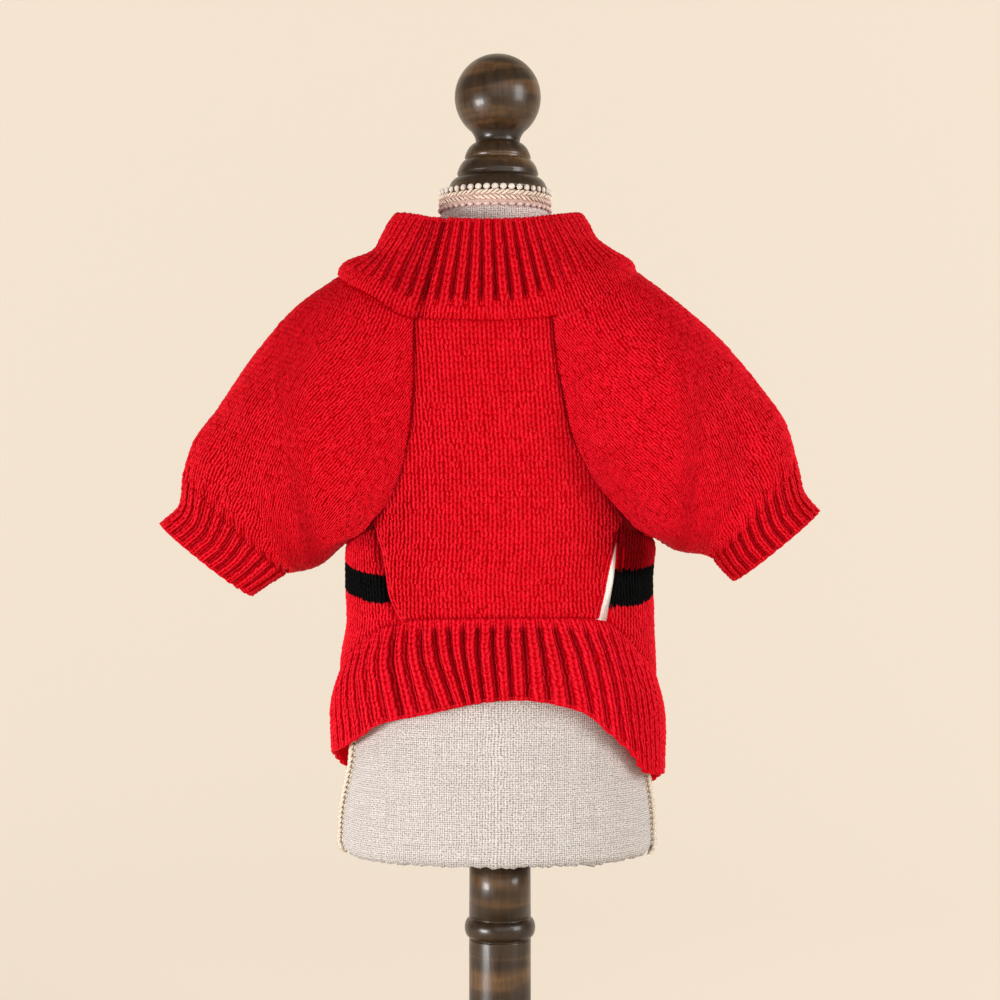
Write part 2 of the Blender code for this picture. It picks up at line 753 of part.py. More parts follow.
def build_neck_cap():
    profile = [(0, NECK_TOP + REST_GAP), (21.0, NECK_TOP + REST_GAP)]
    profile += tier(21.9, 17.4, 420.6, 425.0)
    profile += tier(18.3, 14.0, 426.4, 433.0)
    profile += tier(14.9, 10.1, 433.8, 440.4)
    profile += [(10.05, 442.4), (10.7, 444.6)]
    first, last = math.radians(-51), math.radians(90)
    for step in range(11):
        turn = first + (last - first) * step / 11
        profile.append((BALL_RADIUS * math.cos(turn), BALL_CENTRE + BALL_RADIUS * math.sin(turn)))
    profile.append((0, BALL_CENTRE + BALL_RADIUS))
    return turned("neck_cap", profile, WALNUT, 0.28, centre=CAP_CENTRE)


def build_neck_trim():
    inner = NECK_RADIUS + REST_GAP
    profile = [
        (inner, TRIM_LOW),
        (TRIM_RADIUS - 0.3, TRIM_LOW),
        (TRIM_RADIUS, TRIM_LOW + 1.2),
        (TRIM_RADIUS - 0.3, TRIM_HIGH),
        (inner, TRIM_HIGH),
    ]
    return turned("neck_trim", profile, BRAID, 0.8, sides=42, centre=NECK_CENTRE)


def build_pole():
    ring = bead(POLE_RADIUS + 0.2, POLE_RING_RADIUS - POLE_RADIUS - 0.2, POLE_RING_HEIGHT - 4, POLE_RING_HEIGHT + 4)
    low = BASE_HEIGHT + REST_GAP
    high = TORSO_BOTTOM - REST_GAP
    profile = [(0, low), (POLE_RADIUS + 1.6, low), (POLE_RADIUS + 1.6, low + 3), (POLE_RADIUS, low + 6)]
    profile += [(POLE_RADIUS, POLE_RING_HEIGHT - 5.2), (POLE_RADIUS - 0.5, POLE_RING_HEIGHT - 4.6)]
    profile += ring
    profile += [(POLE_RADIUS - 0.5, POLE_RING_HEIGHT + 4.6), (POLE_RADIUS, POLE_RING_HEIGHT + 5.2)]
    profile += [(POLE_RADIUS - 0.2, high), (0, high)]
    return turned("stand_pole", profile, WALNUT, 0.28)


def build_base():
    profile = [(0, 0), (BASE_RADIUS - 1.5, 0), (BASE_RADIUS, 1.5)]
    profile += [(BASE_RADIUS, 7.0), (BASE_RADIUS - 1.4, 9.6), (BASE_RADIUS - 4.6, 11.0)]
    profile += [(BASE_RADIUS - 7.0, 12.6), (BASE_RADIUS - 16.0, 15.4), (26.0, BASE_HEIGHT), (0, BASE_HEIGHT)]
    return turned("stand_base", profile, WALNUT, 0.28, sides=48)


def main():
    for old in list(bpy.data.objects):
        bpy.data.objects.remove(old, do_unlink=True)
    build_base()
    build_pole()
    build_torso()
    build_neck_trim()
    build_neck_cap()
    build_belly_panel()
    build_back_panel()
    for name in ("left", "right"):
        build_sleeve(name)
        build_cuff(name)
    build_collar()
    build_hem_band()


main()
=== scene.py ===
"""A dog's knitted raglan sweater, worn by a small linen dress form on a turned wood stand.

Metres, +Z up, and the belly side faces -Y. Sizes in tables are millimetres, and angles round the body are
degrees from the front, positive towards +X.
"""

import math

import bmesh
import bpy
import numpy as np
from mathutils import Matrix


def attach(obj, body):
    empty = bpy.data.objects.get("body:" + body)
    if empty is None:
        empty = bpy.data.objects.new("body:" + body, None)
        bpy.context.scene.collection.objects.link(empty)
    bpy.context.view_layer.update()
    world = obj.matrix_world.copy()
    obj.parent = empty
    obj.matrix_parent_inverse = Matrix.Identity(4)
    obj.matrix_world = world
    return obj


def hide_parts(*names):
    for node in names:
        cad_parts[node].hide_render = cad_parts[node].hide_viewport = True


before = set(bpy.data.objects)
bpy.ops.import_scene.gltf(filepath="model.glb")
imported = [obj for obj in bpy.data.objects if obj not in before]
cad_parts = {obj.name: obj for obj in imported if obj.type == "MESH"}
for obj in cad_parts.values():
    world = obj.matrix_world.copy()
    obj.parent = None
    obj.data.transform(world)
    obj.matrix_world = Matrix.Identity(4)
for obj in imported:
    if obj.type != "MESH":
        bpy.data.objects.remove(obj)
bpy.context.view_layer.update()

# ---- Stand base ----
# A round plate of walnut, turned on a lathe with a moulded rim, stained dark and varnished.
# The pole stands in its middle.
MM = 0.001


def finish(name, surface, slot, *nodes, material):
    """Makes the finished piece: it rides with the stand, takes the given material and stands for the nodes, which it
    hides. The slot is not used.
    """
    if isinstance(surface, bmesh.types.BMesh):
        mesh = bpy.data.meshes.new(name)
        surface.to_mesh(mesh)
        surface.free()
    else:
        mesh = surface
    mesh.shade_smooth()
    mesh.materials.append(material)
    piece = bpy.data.objects.new(name, mesh)
    bpy.context.scene.collection.objects.link(piece)
    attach(piece, "root")
    if nodes:
        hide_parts(*nodes)
    return piece


def turned(profile, centre=0.0, steps=96):
    """A turned solid. The profile gives radius and height, and ends on the axis close by themselves."""
    shape = bmesh.new()
    points = [shape.verts.new(((centre + radius) * MM, 0, height * MM)) for radius, height in profile]
    if profile[0][0] > 0:
        points.append(points[0])
    edges = [shape.edges.new(pair) for pair in zip(points, points[1:])]
    bmesh.ops.spin(
        shape,
        geom=list(shape.verts) + edges,
        cent=(centre * MM, 0, 0),
        axis=(0, 0, 1),
        angle=2 * math.pi,
        steps=steps,
        use_merge=True,
    )
    bmesh.ops.remove_doubles(shape, verts=shape.verts, dist=1e-6)
    bmesh.ops.recalc_face_normals(shape, faces=shape.faces)
    return shape


def rounded(profile, corners, reach, steps=3):
    """The profile with the named corners rounded off."""
    smooth = []
    for i, point in enumerate(profile):
        if i not in corners:
            smooth.append(point)
            continue
        here = np.array(point)
        before, after = np.array(profile[i - 1]), np.array(profile[(i + 1) % len(profile)])
        size = min(reach, 0.45 * np.linalg.norm(before - here), 0.45 * np.linalg.norm(after - here))
        start = here + (before - here) / np.linalg.norm(before - here) * size
        end = here + (after - here) / np.linalg.norm(after - here) * size
        for step in range(steps + 1):
            t = step / steps
            smooth.append(tuple(start * (1 - t) ** 2 + 2 * here * t * (1 - t) + end * t**2))
    return smooth


def new_material(name, colour, roughness):
    """A material and its shader, with plain values on the shader's own sockets."""
    material = bpy.data.materials.new(name)
    material.use_nodes = True
    shader = material.node_tree.nodes["Principled BSDF"]
    shader.inputs["Base Color"].default_value = (*colour, 1)
    shader.inputs["Roughness"].default_value = roughness
    return material, shader


def node(material, kind, values=(), **settings):
    """A new node of the material, with its settings and the values of its sockets."""
    made = material.node_tree.nodes.new(kind)
    for key, value in settings.items():
        setattr(made, key, value)
    for socket, value in dict(values).items():
        made.inputs[socket].default_value = value
    return made


def join(material, *pairs):
    for source, target in pairs:
        material.node_tree.links.new(source, target)


def ramp(material, source, stops):
    """A colour ramp read at a value."""
    made = node(material, "ShaderNodeValToRGB")
    elements = made.color_ramp.elements
    while len(elements) < len(stops):
        elements.new(0.5)
    for element, (place, colour) in zip(elements, stops):
        element.position = place
        element.color = (*colour, 1) if len(colour) == 3 else colour
    join(material, (source, made.inputs["Fac"]))
    return made.outputs["Color"]


def noise(material, vector, scale, detail=3.0, roughness=0.5, distortion=0.0):
    made = node(
        material,
        "ShaderNodeTexNoise",
        {"Scale": scale, "Detail": detail, "Roughness": roughness, "Distortion": distortion},
    )
    join(material, (vector, made.inputs["Vector"]))
    return made.outputs["Fac"]


def mapped(material, vector, scale, turn=(0, 0, 0)):
    made = node(material, "ShaderNodeMapping", {"Scale": scale, "Rotation": turn})
    join(material, (vector, made.inputs["Vector"]))
    return made.outputs["Vector"]


def mixed(material, factor, first, second, blend="MIX"):
    """Two colours mixed. Each may be a socket or a plain colour."""
    made = node(material, "ShaderNodeMix", data_type="RGBA", blend_type=blend)
    for socket, value in ((0, factor), (6, first), (7, second)):
        if isinstance(value, bpy.types.NodeSocket):
            join(material, (value, made.inputs[socket]))
        else:
            made.inputs[socket].default_value = value if socket == 0 else (*value, 1)
    return made.outputs[2]


def bumped(material, shader, height, strength, distance):
    made = node(material, "ShaderNodeBump", {"Strength": strength, "Distance": distance})
    join(material, (height, made.inputs["Height"]), (made.outputs["Normal"], shader.inputs["Normal"]))


def scaled(material, source, low, high):
    """The value spread over a new range."""
    made = node(material, "ShaderNodeMapRange", {"From Min": 0.3, "From Max": 0.7, "To Min": low, "To Max": high})
    join(material, (source, made.inputs["Value"]))
    return made.outputs["Result"]


def walnut_finish(name):
    """Dark stained walnut under a rubbed varnish: grain up the piece, fine pores and handled, duller places."""
    material, shader = new_material(name, (0.03, 0.017, 0.009), 0.3)
    shader.inputs["Specular IOR Level"].default_value = 0.30
    shader.inputs["Coat Weight"].default_value = 0.26
    shader.inputs["Coat Roughness"].default_value = 0.17
    where = node(material, "ShaderNodeTexCoord").outputs["Object"]
    figure = noise(material, mapped(material, where, (7, 7, 75), (0.10, 0.06, 0)), 1.0, 3, 0.5, 0.8)
    grain = noise(material, mapped(material, where, (420, 420, 55), (0.12, 0.05, 0)), 1.0, 4, 0.6)
    browns = [(0.36, (0.016, 0.008, 0.003)), (0.52, (0.040, 0.020, 0.007)), (0.66, (0.125, 0.060, 0.020))]
    wood = ramp(material, figure, browns)
    dark = ramp(material, grain, [(0.35, (0.55, 0.52, 0.50)), (0.62, (1, 1, 1))])
    join(material, (mixed(material, 1.0, wood, dark, "MULTIPLY"), shader.inputs["Base Color"]))
    rubbed = noise(material, where, 95, 4, 0.6)
    join(material, (scaled(material, rubbed, 0.26, 0.44), shader.inputs["Roughness"]))
    pores = noise(material, mapped(material, where, (900, 900, 160)), 1.0, 3, 0.6)
    bumped(material, shader, pores, 0.25, 0.0004)
    return material


walnut = walnut_finish("walnut")
BASE_RADIUS, BASE_HEIGHT = 72.0, 18.0
base_profile = [(0, 0), (BASE_RADIUS - 1.5, 0), (BASE_RADIUS, 1.5)]
base_profile += [(BASE_RADIUS, 7.0), (BASE_RADIUS - 1.4, 9.6), (BASE_RADIUS - 4.6, 11.0)]
base_profile += [(BASE_RADIUS - 7.0, 12.6), (BASE_RADIUS - 16.0, 15.4), (26.0, BASE_HEIGHT), (0, BASE_HEIGHT)]
finish(
    "stand_base_turned",
    turned(rounded(base_profile, range(1, 9), 1.6), steps=128),
    "stand_base",
    "stand_base",
    material=walnut,
)

# ---- Pole ----
# A turned walnut pole with a bead near its top, tenoned into the base and screwed up into the torso.
POLE_RADIUS, POLE_RING_HEIGHT = 13.9, 88.0
TORSO_BOTTOM = 122.5
pole_low, pole_high = BASE_HEIGHT + 0.3, TORSO_BOTTOM + 3.0
pole_profile = [(0, pole_low), (POLE_RADIUS + 1.6, pole_low), (POLE_RADIUS + 1.6, pole_low + 3)]
pole_profile += [(POLE_RADIUS, pole_low + 6), (POLE_RADIUS, POLE_RING_HEIGHT - 5.2)]
pole_profile.append((POLE_RADIUS - 0.6, POLE_RING_HEIGHT - 4.8))
for step in range(13):
    turn = math.pi * step / 12
    pole_profile.append((POLE_RADIUS - 0.2 + 2.2 * math.sin(turn), POLE_RING_HEIGHT - 4.2 * math.cos(turn)))
pole_profile += [(POLE_RADIUS - 0.6, POLE_RING_HEIGHT + 4.8), (POLE_RADIUS, POLE_RING_HEIGHT + 5.2)]
pole_profile += [(POLE_RADIUS - 0.2, pole_high), (0, pole_high)]
finish(
    "stand_pole_turned",
    turned(rounded(pole_profile, (2, 3, 4, 5), 1.2)),
    "stand_pole",
    "stand_pole",
    material=walnut,
)

# ---- Torso ----
# A limbless form of pressed board, covered all over in natural linen in a plain weave.
# The cover is drawn under the bottom edge, where the cloth frays a little.
NECK_CENTRE, FOOT_CENTRE = -2.2, -1.2
TRIM_LOW, TRIM_HIGH = 409.0, 417.6
NECK_RADIUS, NECK_TOP = 24.0, 416.4


def smooth_read(places, values, at):
    """Reads values over places on a smooth curve that never swings past its points."""
    steps = np.diff(places)
    rises = np.diff(values, axis=0) / steps.reshape(-1, *[1] * (np.ndim(values) - 1))
    slopes = np.concatenate([rises[:1], np.zeros_like(rises[1:]), rises[-1:]])
    before, after = rises[:-1], rises[1:]
    onward = before * after > 0
    slopes[1:-1][onward] = 2 * before[onward] * after[onward] / (before + after)[onward]
    at = np.clip(at, places[0], places[-1])
    k = np.clip(np.searchsorted(places, at) - 1, 0, len(places) - 2)
    share = [-1] + [1] * (np.ndim(values) - 1) if np.ndim(at) else []
    t = np.reshape((at - places[k]) / steps[k], share) if share else (at - places[k]) / steps[k]
    step = np.reshape(steps[k], share) if share else steps[k]
    ease = t * t * (3 - 2 * t)
    bend = step * t * (1 - t) * (slopes[k] * (1 - t) - slopes[k + 1] * t)
    return values[k] * (1 - ease) + values[k + 1] * ease + bend


class Sizes:
    """Sizes in rows under named columns. The first column orders the rows, and the rest are read over it."""

    def __init__(self, columns, rows, turns=False):
        self.columns = columns.split()
        self.rows = np.array(rows, float)
        if turns:
            turn = np.zeros(len(self.columns))
            turn[0] = 360
            self.rows = np.vstack([self.rows - turn, self.rows, self.rows + turn])

    def read(self, name, at):
        column = self.rows[:, self.columns.index(name)]
        flat = smooth_read(self.rows[:, 0], column, np.ravel(np.asarray(at, float)))
        return flat.reshape(np.shape(at))


def bent(value, roundness):
    """Squares off a sine or cosine: a roundness of 2 leaves it as it is, and a higher one makes a fuller oval."""
    return np.sign(value) * np.abs(value) ** (2 / roundness)


OVAL = 2.2  # the roundness of the torso and of the body


def oval(angle, centre, half_width, front, back, roundness=OVAL):
    """x and y on an oval, whose front and back halves have their own depths."""
    turned_by = np.radians(angle)
    depth = np.where(np.cos(turned_by) > 0, front, back)
    return centre + half_width * bent(np.sin(turned_by), roundness), -depth * bent(np.cos(turned_by), roundness)


TORSO = Sizes(
    "height centre half_width half_depth roundness",
    [
        (122.5, -1.2, 66.0, 43.6, 2.2),
        (124.2, -1.2, 68.2, 45.6, 2.2),
        (128.0, -1.2, 69.2, 46.5, 2.2),
        (138.0, -1.2, 69.2, 46.6, 2.2),
        (160.0, -1.2, 67.4, 46.0, 2.2),
        (190.0, -1.0, 65.4, 45.0, 2.2),
        (226.0, -0.8, 64.4, 44.2, 2.2),
        (262.0, -0.6, 64.6, 44.0, 2.2),
        (294.0, -0.6, 65.6, 44.4, 2.2),
        (325.0, -0.8, 66.6, 45.0, 2.2),
        (345.0, -1.0, 66.0, 44.2, 2.2),
        (360.0, -1.4, 64.0, 42.2, 2.2),
        (372.0, -1.8, 60.8, 39.4, 2.15),
        (380.0, -2.0, 56.8, 36.4, 2.1),
        (388.0, -2.2, 49.6, 33.0, 2.05),
        (395.0, -2.2, 39.0, 29.6, 2.0),
        (400.0, -2.2, 29.0, 26.6, 2.0),
        (403.5, -2.2, 25.4, 25.2, 2.0),
        (408.4, -2.2, 24.9, 24.9, 2.0),
        (408.7, -2.2, 24.0, 24.0, 2.0),
        (419.3, -2.2, 24.0, 24.0, 2.0),
    ],
)


def torso_point(angle, height):
    sizes = [TORSO.read(name, height) for name in ("centre", "half_width", "half_depth")]
    x, y = oval(angle, sizes[0], sizes[1], sizes[2], sizes[2], TORSO.read("roundness", height))
    return np.stack([x, y, np.asarray(height, float) + 0 * x], axis=-1)


def cloth_grid(columns, rows, place, closed):
    """A grid laid on a surface. place turns shares across and along into points, and its shares become the UV map."""
    shape = bmesh.new()
    layer = shape.loops.layers.uv.new("UVMap")
    bmesh.ops.create_grid(shape, x_segments=columns, y_segments=rows, size=0.5)
    across = np.array([v.co.x for v in shape.verts]) + 0.5
    along = np.array([v.co.y for v in shape.verts]) + 0.5
    for face in shape.faces:
        for loop in face.loops:
            loop[layer].uv = (loop.vert.co.x + 0.5, loop.vert.co.y + 0.5)
    for vert, point in zip(shape.verts, place(across, along)):
        vert.co = point * MM
    if closed:
        bmesh.ops.remove_doubles(shape, verts=shape.verts, dist=2e-6)
    return shape


WARP_THREADS, WEFT_THREADS = 400, 344  # round the form, and from its underside to the neck


def linen_finish():
    """Natural linen: a plain weave of uneven warp and weft threads, some of them thick, with small gaps between.
    Round the slit it is painted a lighter cream and glows a little, painted light in the slit's shade.
    """
    material, shader = new_material("linen", (0.62, 0.55, 0.47), 0.85)
    shader.inputs["Sheen Weight"].default_value = 0.15
    shader.inputs["Sheen Roughness"].default_value = 0.5
    uv = node(material, "ShaderNodeUVMap", uv_map="UVMap").outputs["UV"]
    wander = noise(material, mapped(material, uv, (26, 22, 1)), 1.0, 2)
    moved = node(material, "ShaderNodeVectorMath", operation="ADD")
    nudge = node(material, "ShaderNodeVectorMath", {"Scale": 0.004}, operation="SCALE")
    join(material, (wander, nudge.inputs[0]), (uv, moved.inputs[0]), (nudge.outputs["Vector"], moved.inputs[1]))

    def threads(direction, count):
        """Bands across the cloth, so many to its whole width or length."""
        wave = node(
            material,
            "ShaderNodeTexWave",
            {"Scale": count * math.pi / 10, "Distortion": 0.0},
            bands_direction=direction,
        )
        join(material, (moved.outputs["Vector"], wave.inputs["Vector"]))
        return wave.outputs["Fac"]

    def calculated(operation, first, second):
        made = node(material, "ShaderNodeMath", operation=operation)
        for socket, value in zip(made.inputs, (first, second)):
            if isinstance(value, bpy.types.NodeSocket):
                join(material, (value, socket))
            else:
                socket.default_value = value
        return made.outputs[0]

    warp, weft = threads("X", WARP_THREADS), threads("Y", WEFT_THREADS)
    over_x, over_y = threads("X", WARP_THREADS / 2), threads("Y", WEFT_THREADS / 2)
    both = calculated("MULTIPLY", over_x, over_y)
    neither = calculated("MULTIPLY", calculated("SUBTRACT", 1.0, over_x), calculated("SUBTRACT", 1.0, over_y))
    above = calculated("ADD", both, neither)
    top = calculated("MULTIPLY", warp, above)
    under = calculated("MULTIPLY", weft, calculated("SUBTRACT", 1.0, above))
    weave = calculated("ADD", top, under)
    slub_across = noise(material, mapped(material, uv, (16, 280, 1)), 1.0, 3, 0.6)
    slub_along = noise(material, mapped(material, uv, (340, 12, 1)), 1.0, 3, 0.6)
    specks = noise(material, mapped(material, uv, (560, 470, 1)), 1.0, 1)
    weave = calculated("ADD", weave, calculated("MULTIPLY", calculated("SUBTRACT", specks, 0.5), 2.2))
    thread_tones = [(0.06, (0.40, 0.36, 0.34)), (0.44, (0.91, 0.89, 0.88)), (0.95, (1.18, 1.17, 1.16))]
    thread = ramp(material, weave, thread_tones)
    slubs = node(material, "ShaderNodeMath", operation="MULTIPLY")
    join(material, (slub_across, slubs.inputs[0]), (slub_along, slubs.inputs[1]))
    tone = ramp(material, slubs.outputs[0], [(0.12, (0.445, 0.415, 0.40)), (0.34, (0.555, 0.525, 0.505))])
    cloth = mixed(material, 1.0, tone, thread, "MULTIPLY")
    where = node(material, "ShaderNodeTexCoord").outputs["Object"]
    # Round the slit the linen is painted a lighter cream and made to glow a little: painted light where the slit lies
    # in shade.
    slit = node(material, "ShaderNodeMapping", {"Location": (-4.3, 0, -11.1), "Scale": (91, 0, 45.5)})
    from_slit = node(material, "ShaderNodeVectorMath", operation="LENGTH")
    join(material, (where, slit.inputs["Vector"]), (slit.outputs["Vector"], from_slit.inputs[0]))
    painted_slit_light = ramp(material, from_slit.outputs["Value"], [(0.85, (1, 1, 1)), (1.0, (0, 0, 0))])
    cloth = mixed(material, painted_slit_light, cloth, (0.82, 0.77, 0.69))
    place = node(material, "ShaderNodeSeparateXYZ")
    join(material, (where, place.inputs["Vector"]))
    # Near the neck the linen takes a pink tint: painted red light bounced from the wool.
    neck = calculated("MULTIPLY", place.outputs["Z"], 2.0)
    painted_red_bounce = ramp(material, neck, [(0.79, (1, 1, 1)), (0.812, (1.15, 1.02, 1.0))])
    cloth = mixed(material, 1.0, cloth, painted_red_bounce, "MULTIPLY")
    join(material, (cloth, shader.inputs["Base Color"]), (cloth, shader.inputs["Emission Color"]))
    join(material, (calculated("MULTIPLY", painted_slit_light, 0.25), shader.inputs["Emission Strength"]))
    bumped(material, shader, weave, 0.5, 0.0005)
    return material


FOOT, TOP = 0.06, 0.97  # how far along the cover its bottom edge and the neck's top edge lie
COVER_COLUMNS, COVER_ROWS = 288, 150
EVEN_HALF_WIDTH = 66.0  # where the threads lie at their full spacing


def progress(value, start, end):
    """How far a value has come on its way from start to end, from 0 to 1."""
    return np.clip((value - start) / (end - start), 0, 1)


def bell(distance, spread):
    """1 where the distance is 0, fading to nothing beyond about twice the spread."""
    return np.exp(-((distance / spread) ** 2))


def cover_height(along):
    return TORSO_BOTTOM + (NECK_TOP - TORSO_BOTTOM) * progress(along, FOOT, TOP)


def torso_place(across, along):
    """The cover, from the middle of the underside out to the bottom edge, up the body and over the neck's top."""
    angle, height = across * 360 - 180, cover_height(along)
    points = torso_point(angle, height)
    frayed = np.random.default_rng(8).normal(0, 0.4, COVER_COLUMNS + 1)
    frayed = frayed[np.round(across * COVER_COLUMNS).astype(int) % COVER_COLUMNS]
    points[:, 2] += frayed * bell(height - TORSO_BOTTOM, 1.2)  # the raw edge
    by_slit = bell(angle - 45, 14) * bell(height - 244, 22)
    within = bell(angle - 44.6 - 0.2 * (height - 244), 2.8) * np.exp(-(((height - 243) / 17) ** 8))
    points[:, :2] *= 1 + 0.060 * by_slit[:, None] + 0.014 * within[:, None]
    share = np.where(along < FOOT, along / FOOT, np.where(along > TOP, (1 - along) / (1 - TOP), 1.0))
    centre = np.stack([np.where(along < FOOT, FOOT_CENTRE, NECK_CENTRE), 0 * angle, height], axis=-1)
    return centre + (points - centre) * share[:, None]


linen = linen_finish()
torso = cloth_grid(COVER_COLUMNS, COVER_ROWS, torso_place, True)
weave_map = torso.loops.layers.uv["UVMap"]
narrowing = {}
for face in torso.faces:
    for corner in face.loops:  # the threads keep their spacing where the form narrows
        across, along = corner[weave_map].uv
        if along not in narrowing:
            narrowing[along] = float(TORSO.read("half_width", cover_height(along))) / EVEN_HALF_WIDTH
        corner[weave_map].uv = (0.5 + (across - 0.5) * narrowing[along], along)
bmesh.ops.recalc_face_normals(torso, faces=torso.faces)
finish("form_torso_linen", torso, "form_torso", "form_torso", material=linen)

# ---- Piping ----
# A twisted two-ply linen cord, sewn into the seam down each side of the torso.
def template(make):
    """The vertices and faces of a small shape, ready to be repeated."""
    shape = bmesh.new()
    make(shape)
    bmesh.ops.recalc_face_normals(shape, faces=shape.faces)
    shape.verts.index_update()
    made = {
        "verts": np.array([v.co[:] for v in shape.verts]),
        "loops": np.array([v.index for f in shape.faces for v in f.verts]),
        "sizes": np.array([len(f.verts) for f in shape.faces]),
    }
    shape.free()
    return made


def repeated(name, shape, places, shades=None):
    """One mesh of many copies. places holds where each vertex of each copy lies, in metres."""
    count, per = places.shape[:2]
    sizes = np.tile(shape["sizes"], count)
    loops = (shape["loops"][None, :] + per * np.arange(count)[:, None]).ravel()
    mesh = bpy.data.meshes.new(name)
    mesh.vertices.add(count * per)
    mesh.vertices.foreach_set("co", places.astype(np.float32).ravel())
    mesh.loops.add(len(loops))
    mesh.loops.foreach_set("vertex_index", loops.astype(np.int32))
    mesh.polygons.add(len(sizes))
    mesh.polygons.foreach_set("loop_start", (np.cumsum(sizes) - sizes).astype(np.int32))
    mesh.update(calc_edges=True)
    if shades is not None:
        attribute = mesh.attributes.new("shade", "FLOAT_COLOR", "POINT")
        colours = np.ones((count, per, 4))
        colours[:, :, :3] = shades[:, None, :] if shades.ndim == 2 else shades
        colours[:, :, 3] = shape.get("highlight_crown", 1.0)
        attribute.data.foreach_set("color", colours.astype(np.float32).ravel())
    return mesh


SPINDLE = template(lambda shape: bmesh.ops.create_uvsphere(shape, u_segments=4, v_segments=4, radius=1.0))


def unit(vectors):
    return vectors / np.maximum(np.linalg.norm(vectors, axis=-1, keepdims=True), 1e-9)


def lengths_along(points):
    """How far along its first axis each point of a path, or of a grid of rows, lies."""
    steps = np.linalg.norm(np.diff(points, axis=0), axis=-1)
    return np.concatenate([np.zeros_like(steps[:1]), np.cumsum(steps, axis=0)])


def follow(at, lengths, points):
    """Reads the points of a path at lengths along it."""
    return np.stack([np.interp(at, lengths, points[:, i]) for i in range(3)], axis=-1)


def twisted(points, normals, radius, pitch):
    """Short slanted strands along a path, which lie over each other as the two plies of a cord do."""
    lengths = lengths_along(points)
    count = int(lengths[-1] / pitch)
    at = (np.arange(count) + 0.5) / count * lengths[-1]
    middle, out = follow(at, lengths, points), follow(at, lengths, normals)
    way = unit(follow(at, lengths, np.gradient(points, lengths, axis=0)))
    out = unit(out - (out * way).sum(1, keepdims=True) * way)
    side = np.cross(way, out)
    x, y, z = (SPINDLE["verts"][None, :, i, None] for i in range(3))
    strands = []
    for face, shift in ((1, 0.0), (-1, 0.5 * pitch)):
        along = (shift + 1.25 * pitch * z) * way[:, None]
        across = face * (0.72 * z + 0.45 * x) * radius * side[:, None]
        lift = face * (0.5 * y + 0.52 * (1 - z**2)) * radius * out[:, None]
        strands.append(middle[:, None] + along + across + lift)
    return np.concatenate(strands) * MM


PIPING_RADIUS, PIPING_PITCH = 2.2, 2.5
piping_heights = np.linspace(TORSO_BOTTOM + 1.0, 330.0, 120)
cords = []
for lowest, upper in ((-86.0, -70.0), (82.0, 74.0)):  # the seam's angle at its foot and higher up
    seam = torso_point(lowest + (upper - lowest) * progress(piping_heights, 127, 165), piping_heights)
    facing = unit((seam - (FOOT_CENTRE, 0, 0)) * (1, 1, 0))
    cords.append(twisted(seam + 0.55 * facing, facing, PIPING_RADIUS, PIPING_PITCH))
linen_thread, thread_shader = new_material("linen_thread", (0.60, 0.50, 0.38), 0.85)
where = node(linen_thread, "ShaderNodeTexCoord").outputs["Object"]
fibres = noise(linen_thread, where, 2600, 3, 0.6)
ecru = ramp(linen_thread, fibres, [(0.3, (0.36, 0.29, 0.21)), (0.7, (0.84, 0.75, 0.63))])
join(linen_thread, (ecru, thread_shader.inputs["Base Color"]))
bumped(linen_thread, thread_shader, fibres, 0.4, 0.0003)
finish("form_piping", repeated("form_piping", SPINDLE, np.concatenate(cords)), "form_torso", material=linen_thread)

# ---- Neck trim ----
# A flat cotton braid of two slanted rows with small loops along both edges, glued round the neck.
TRIM_RADIUS = 24.6
trim_inside, trim_foot, trim_head = NECK_RADIUS - 0.3, TRIM_LOW + 0.9, TRIM_HIGH - 1.4
trim_band = [(trim_inside, trim_foot), (TRIM_RADIUS, trim_foot), (TRIM_RADIUS, trim_head), (trim_inside, trim_head)]
cotton, cotton_shader = new_material("cotton_braid", (0.62, 0.46, 0.38), 0.8)
where = node(cotton, "ShaderNodeTexCoord").outputs["Object"]
shade = node(cotton, "ShaderNodeAttribute", attribute_name="shade").outputs["Color"]
fibres = noise(cotton, where, 2400, 3, 0.6)
fine = ramp(cotton, fibres, [(0.3, (0.80, 0.78, 0.76)), (0.7, (1.0, 1.0, 1.0))])
join(cotton, (mixed(cotton, 1.0, shade, fine, "MULTIPLY"), cotton_shader.inputs["Base Color"]))
bumped(cotton, cotton_shader, fibres, 0.4, 0.0003)
braid_ground, _ = new_material("braid_ground", (0.50, 0.34, 0.28), 0.9)
finish(
    "neck_trim_ground",
    turned(rounded(trim_band, (1, 2), 0.4), NECK_CENTRE, 96),
    "neck_trim",
    "neck_trim",
    material=braid_ground,
)


def round_neck(turn, radius, height):
    """Points at turns round the neck, in degrees from the front."""
    rad = np.radians(turn)
    return np.stack([NECK_CENTRE + radius * np.sin(rad), -radius * np.cos(rad), height + 0 * rad], axis=-1)


PLAITS, LOOPS = 66, 42  # all round the neck
PLAIT_ROWS = (  # height, slant and colour
    (TRIM_HIGH - 2.5, 1.0, (0.80, 0.66, 0.53)),
    (TRIM_HIGH - 4.9, -1.0, (0.78, 0.60, 0.50)),
)
LOOP_ROWS = (  # height, half width, half length and colour
    (TRIM_HIGH - 0.1, 1.60, 1.40, (0.74, 0.66, 0.58)),
    (TRIM_LOW + 0.9, 1.5, 0.95, (0.78, 0.58, 0.52)),
)


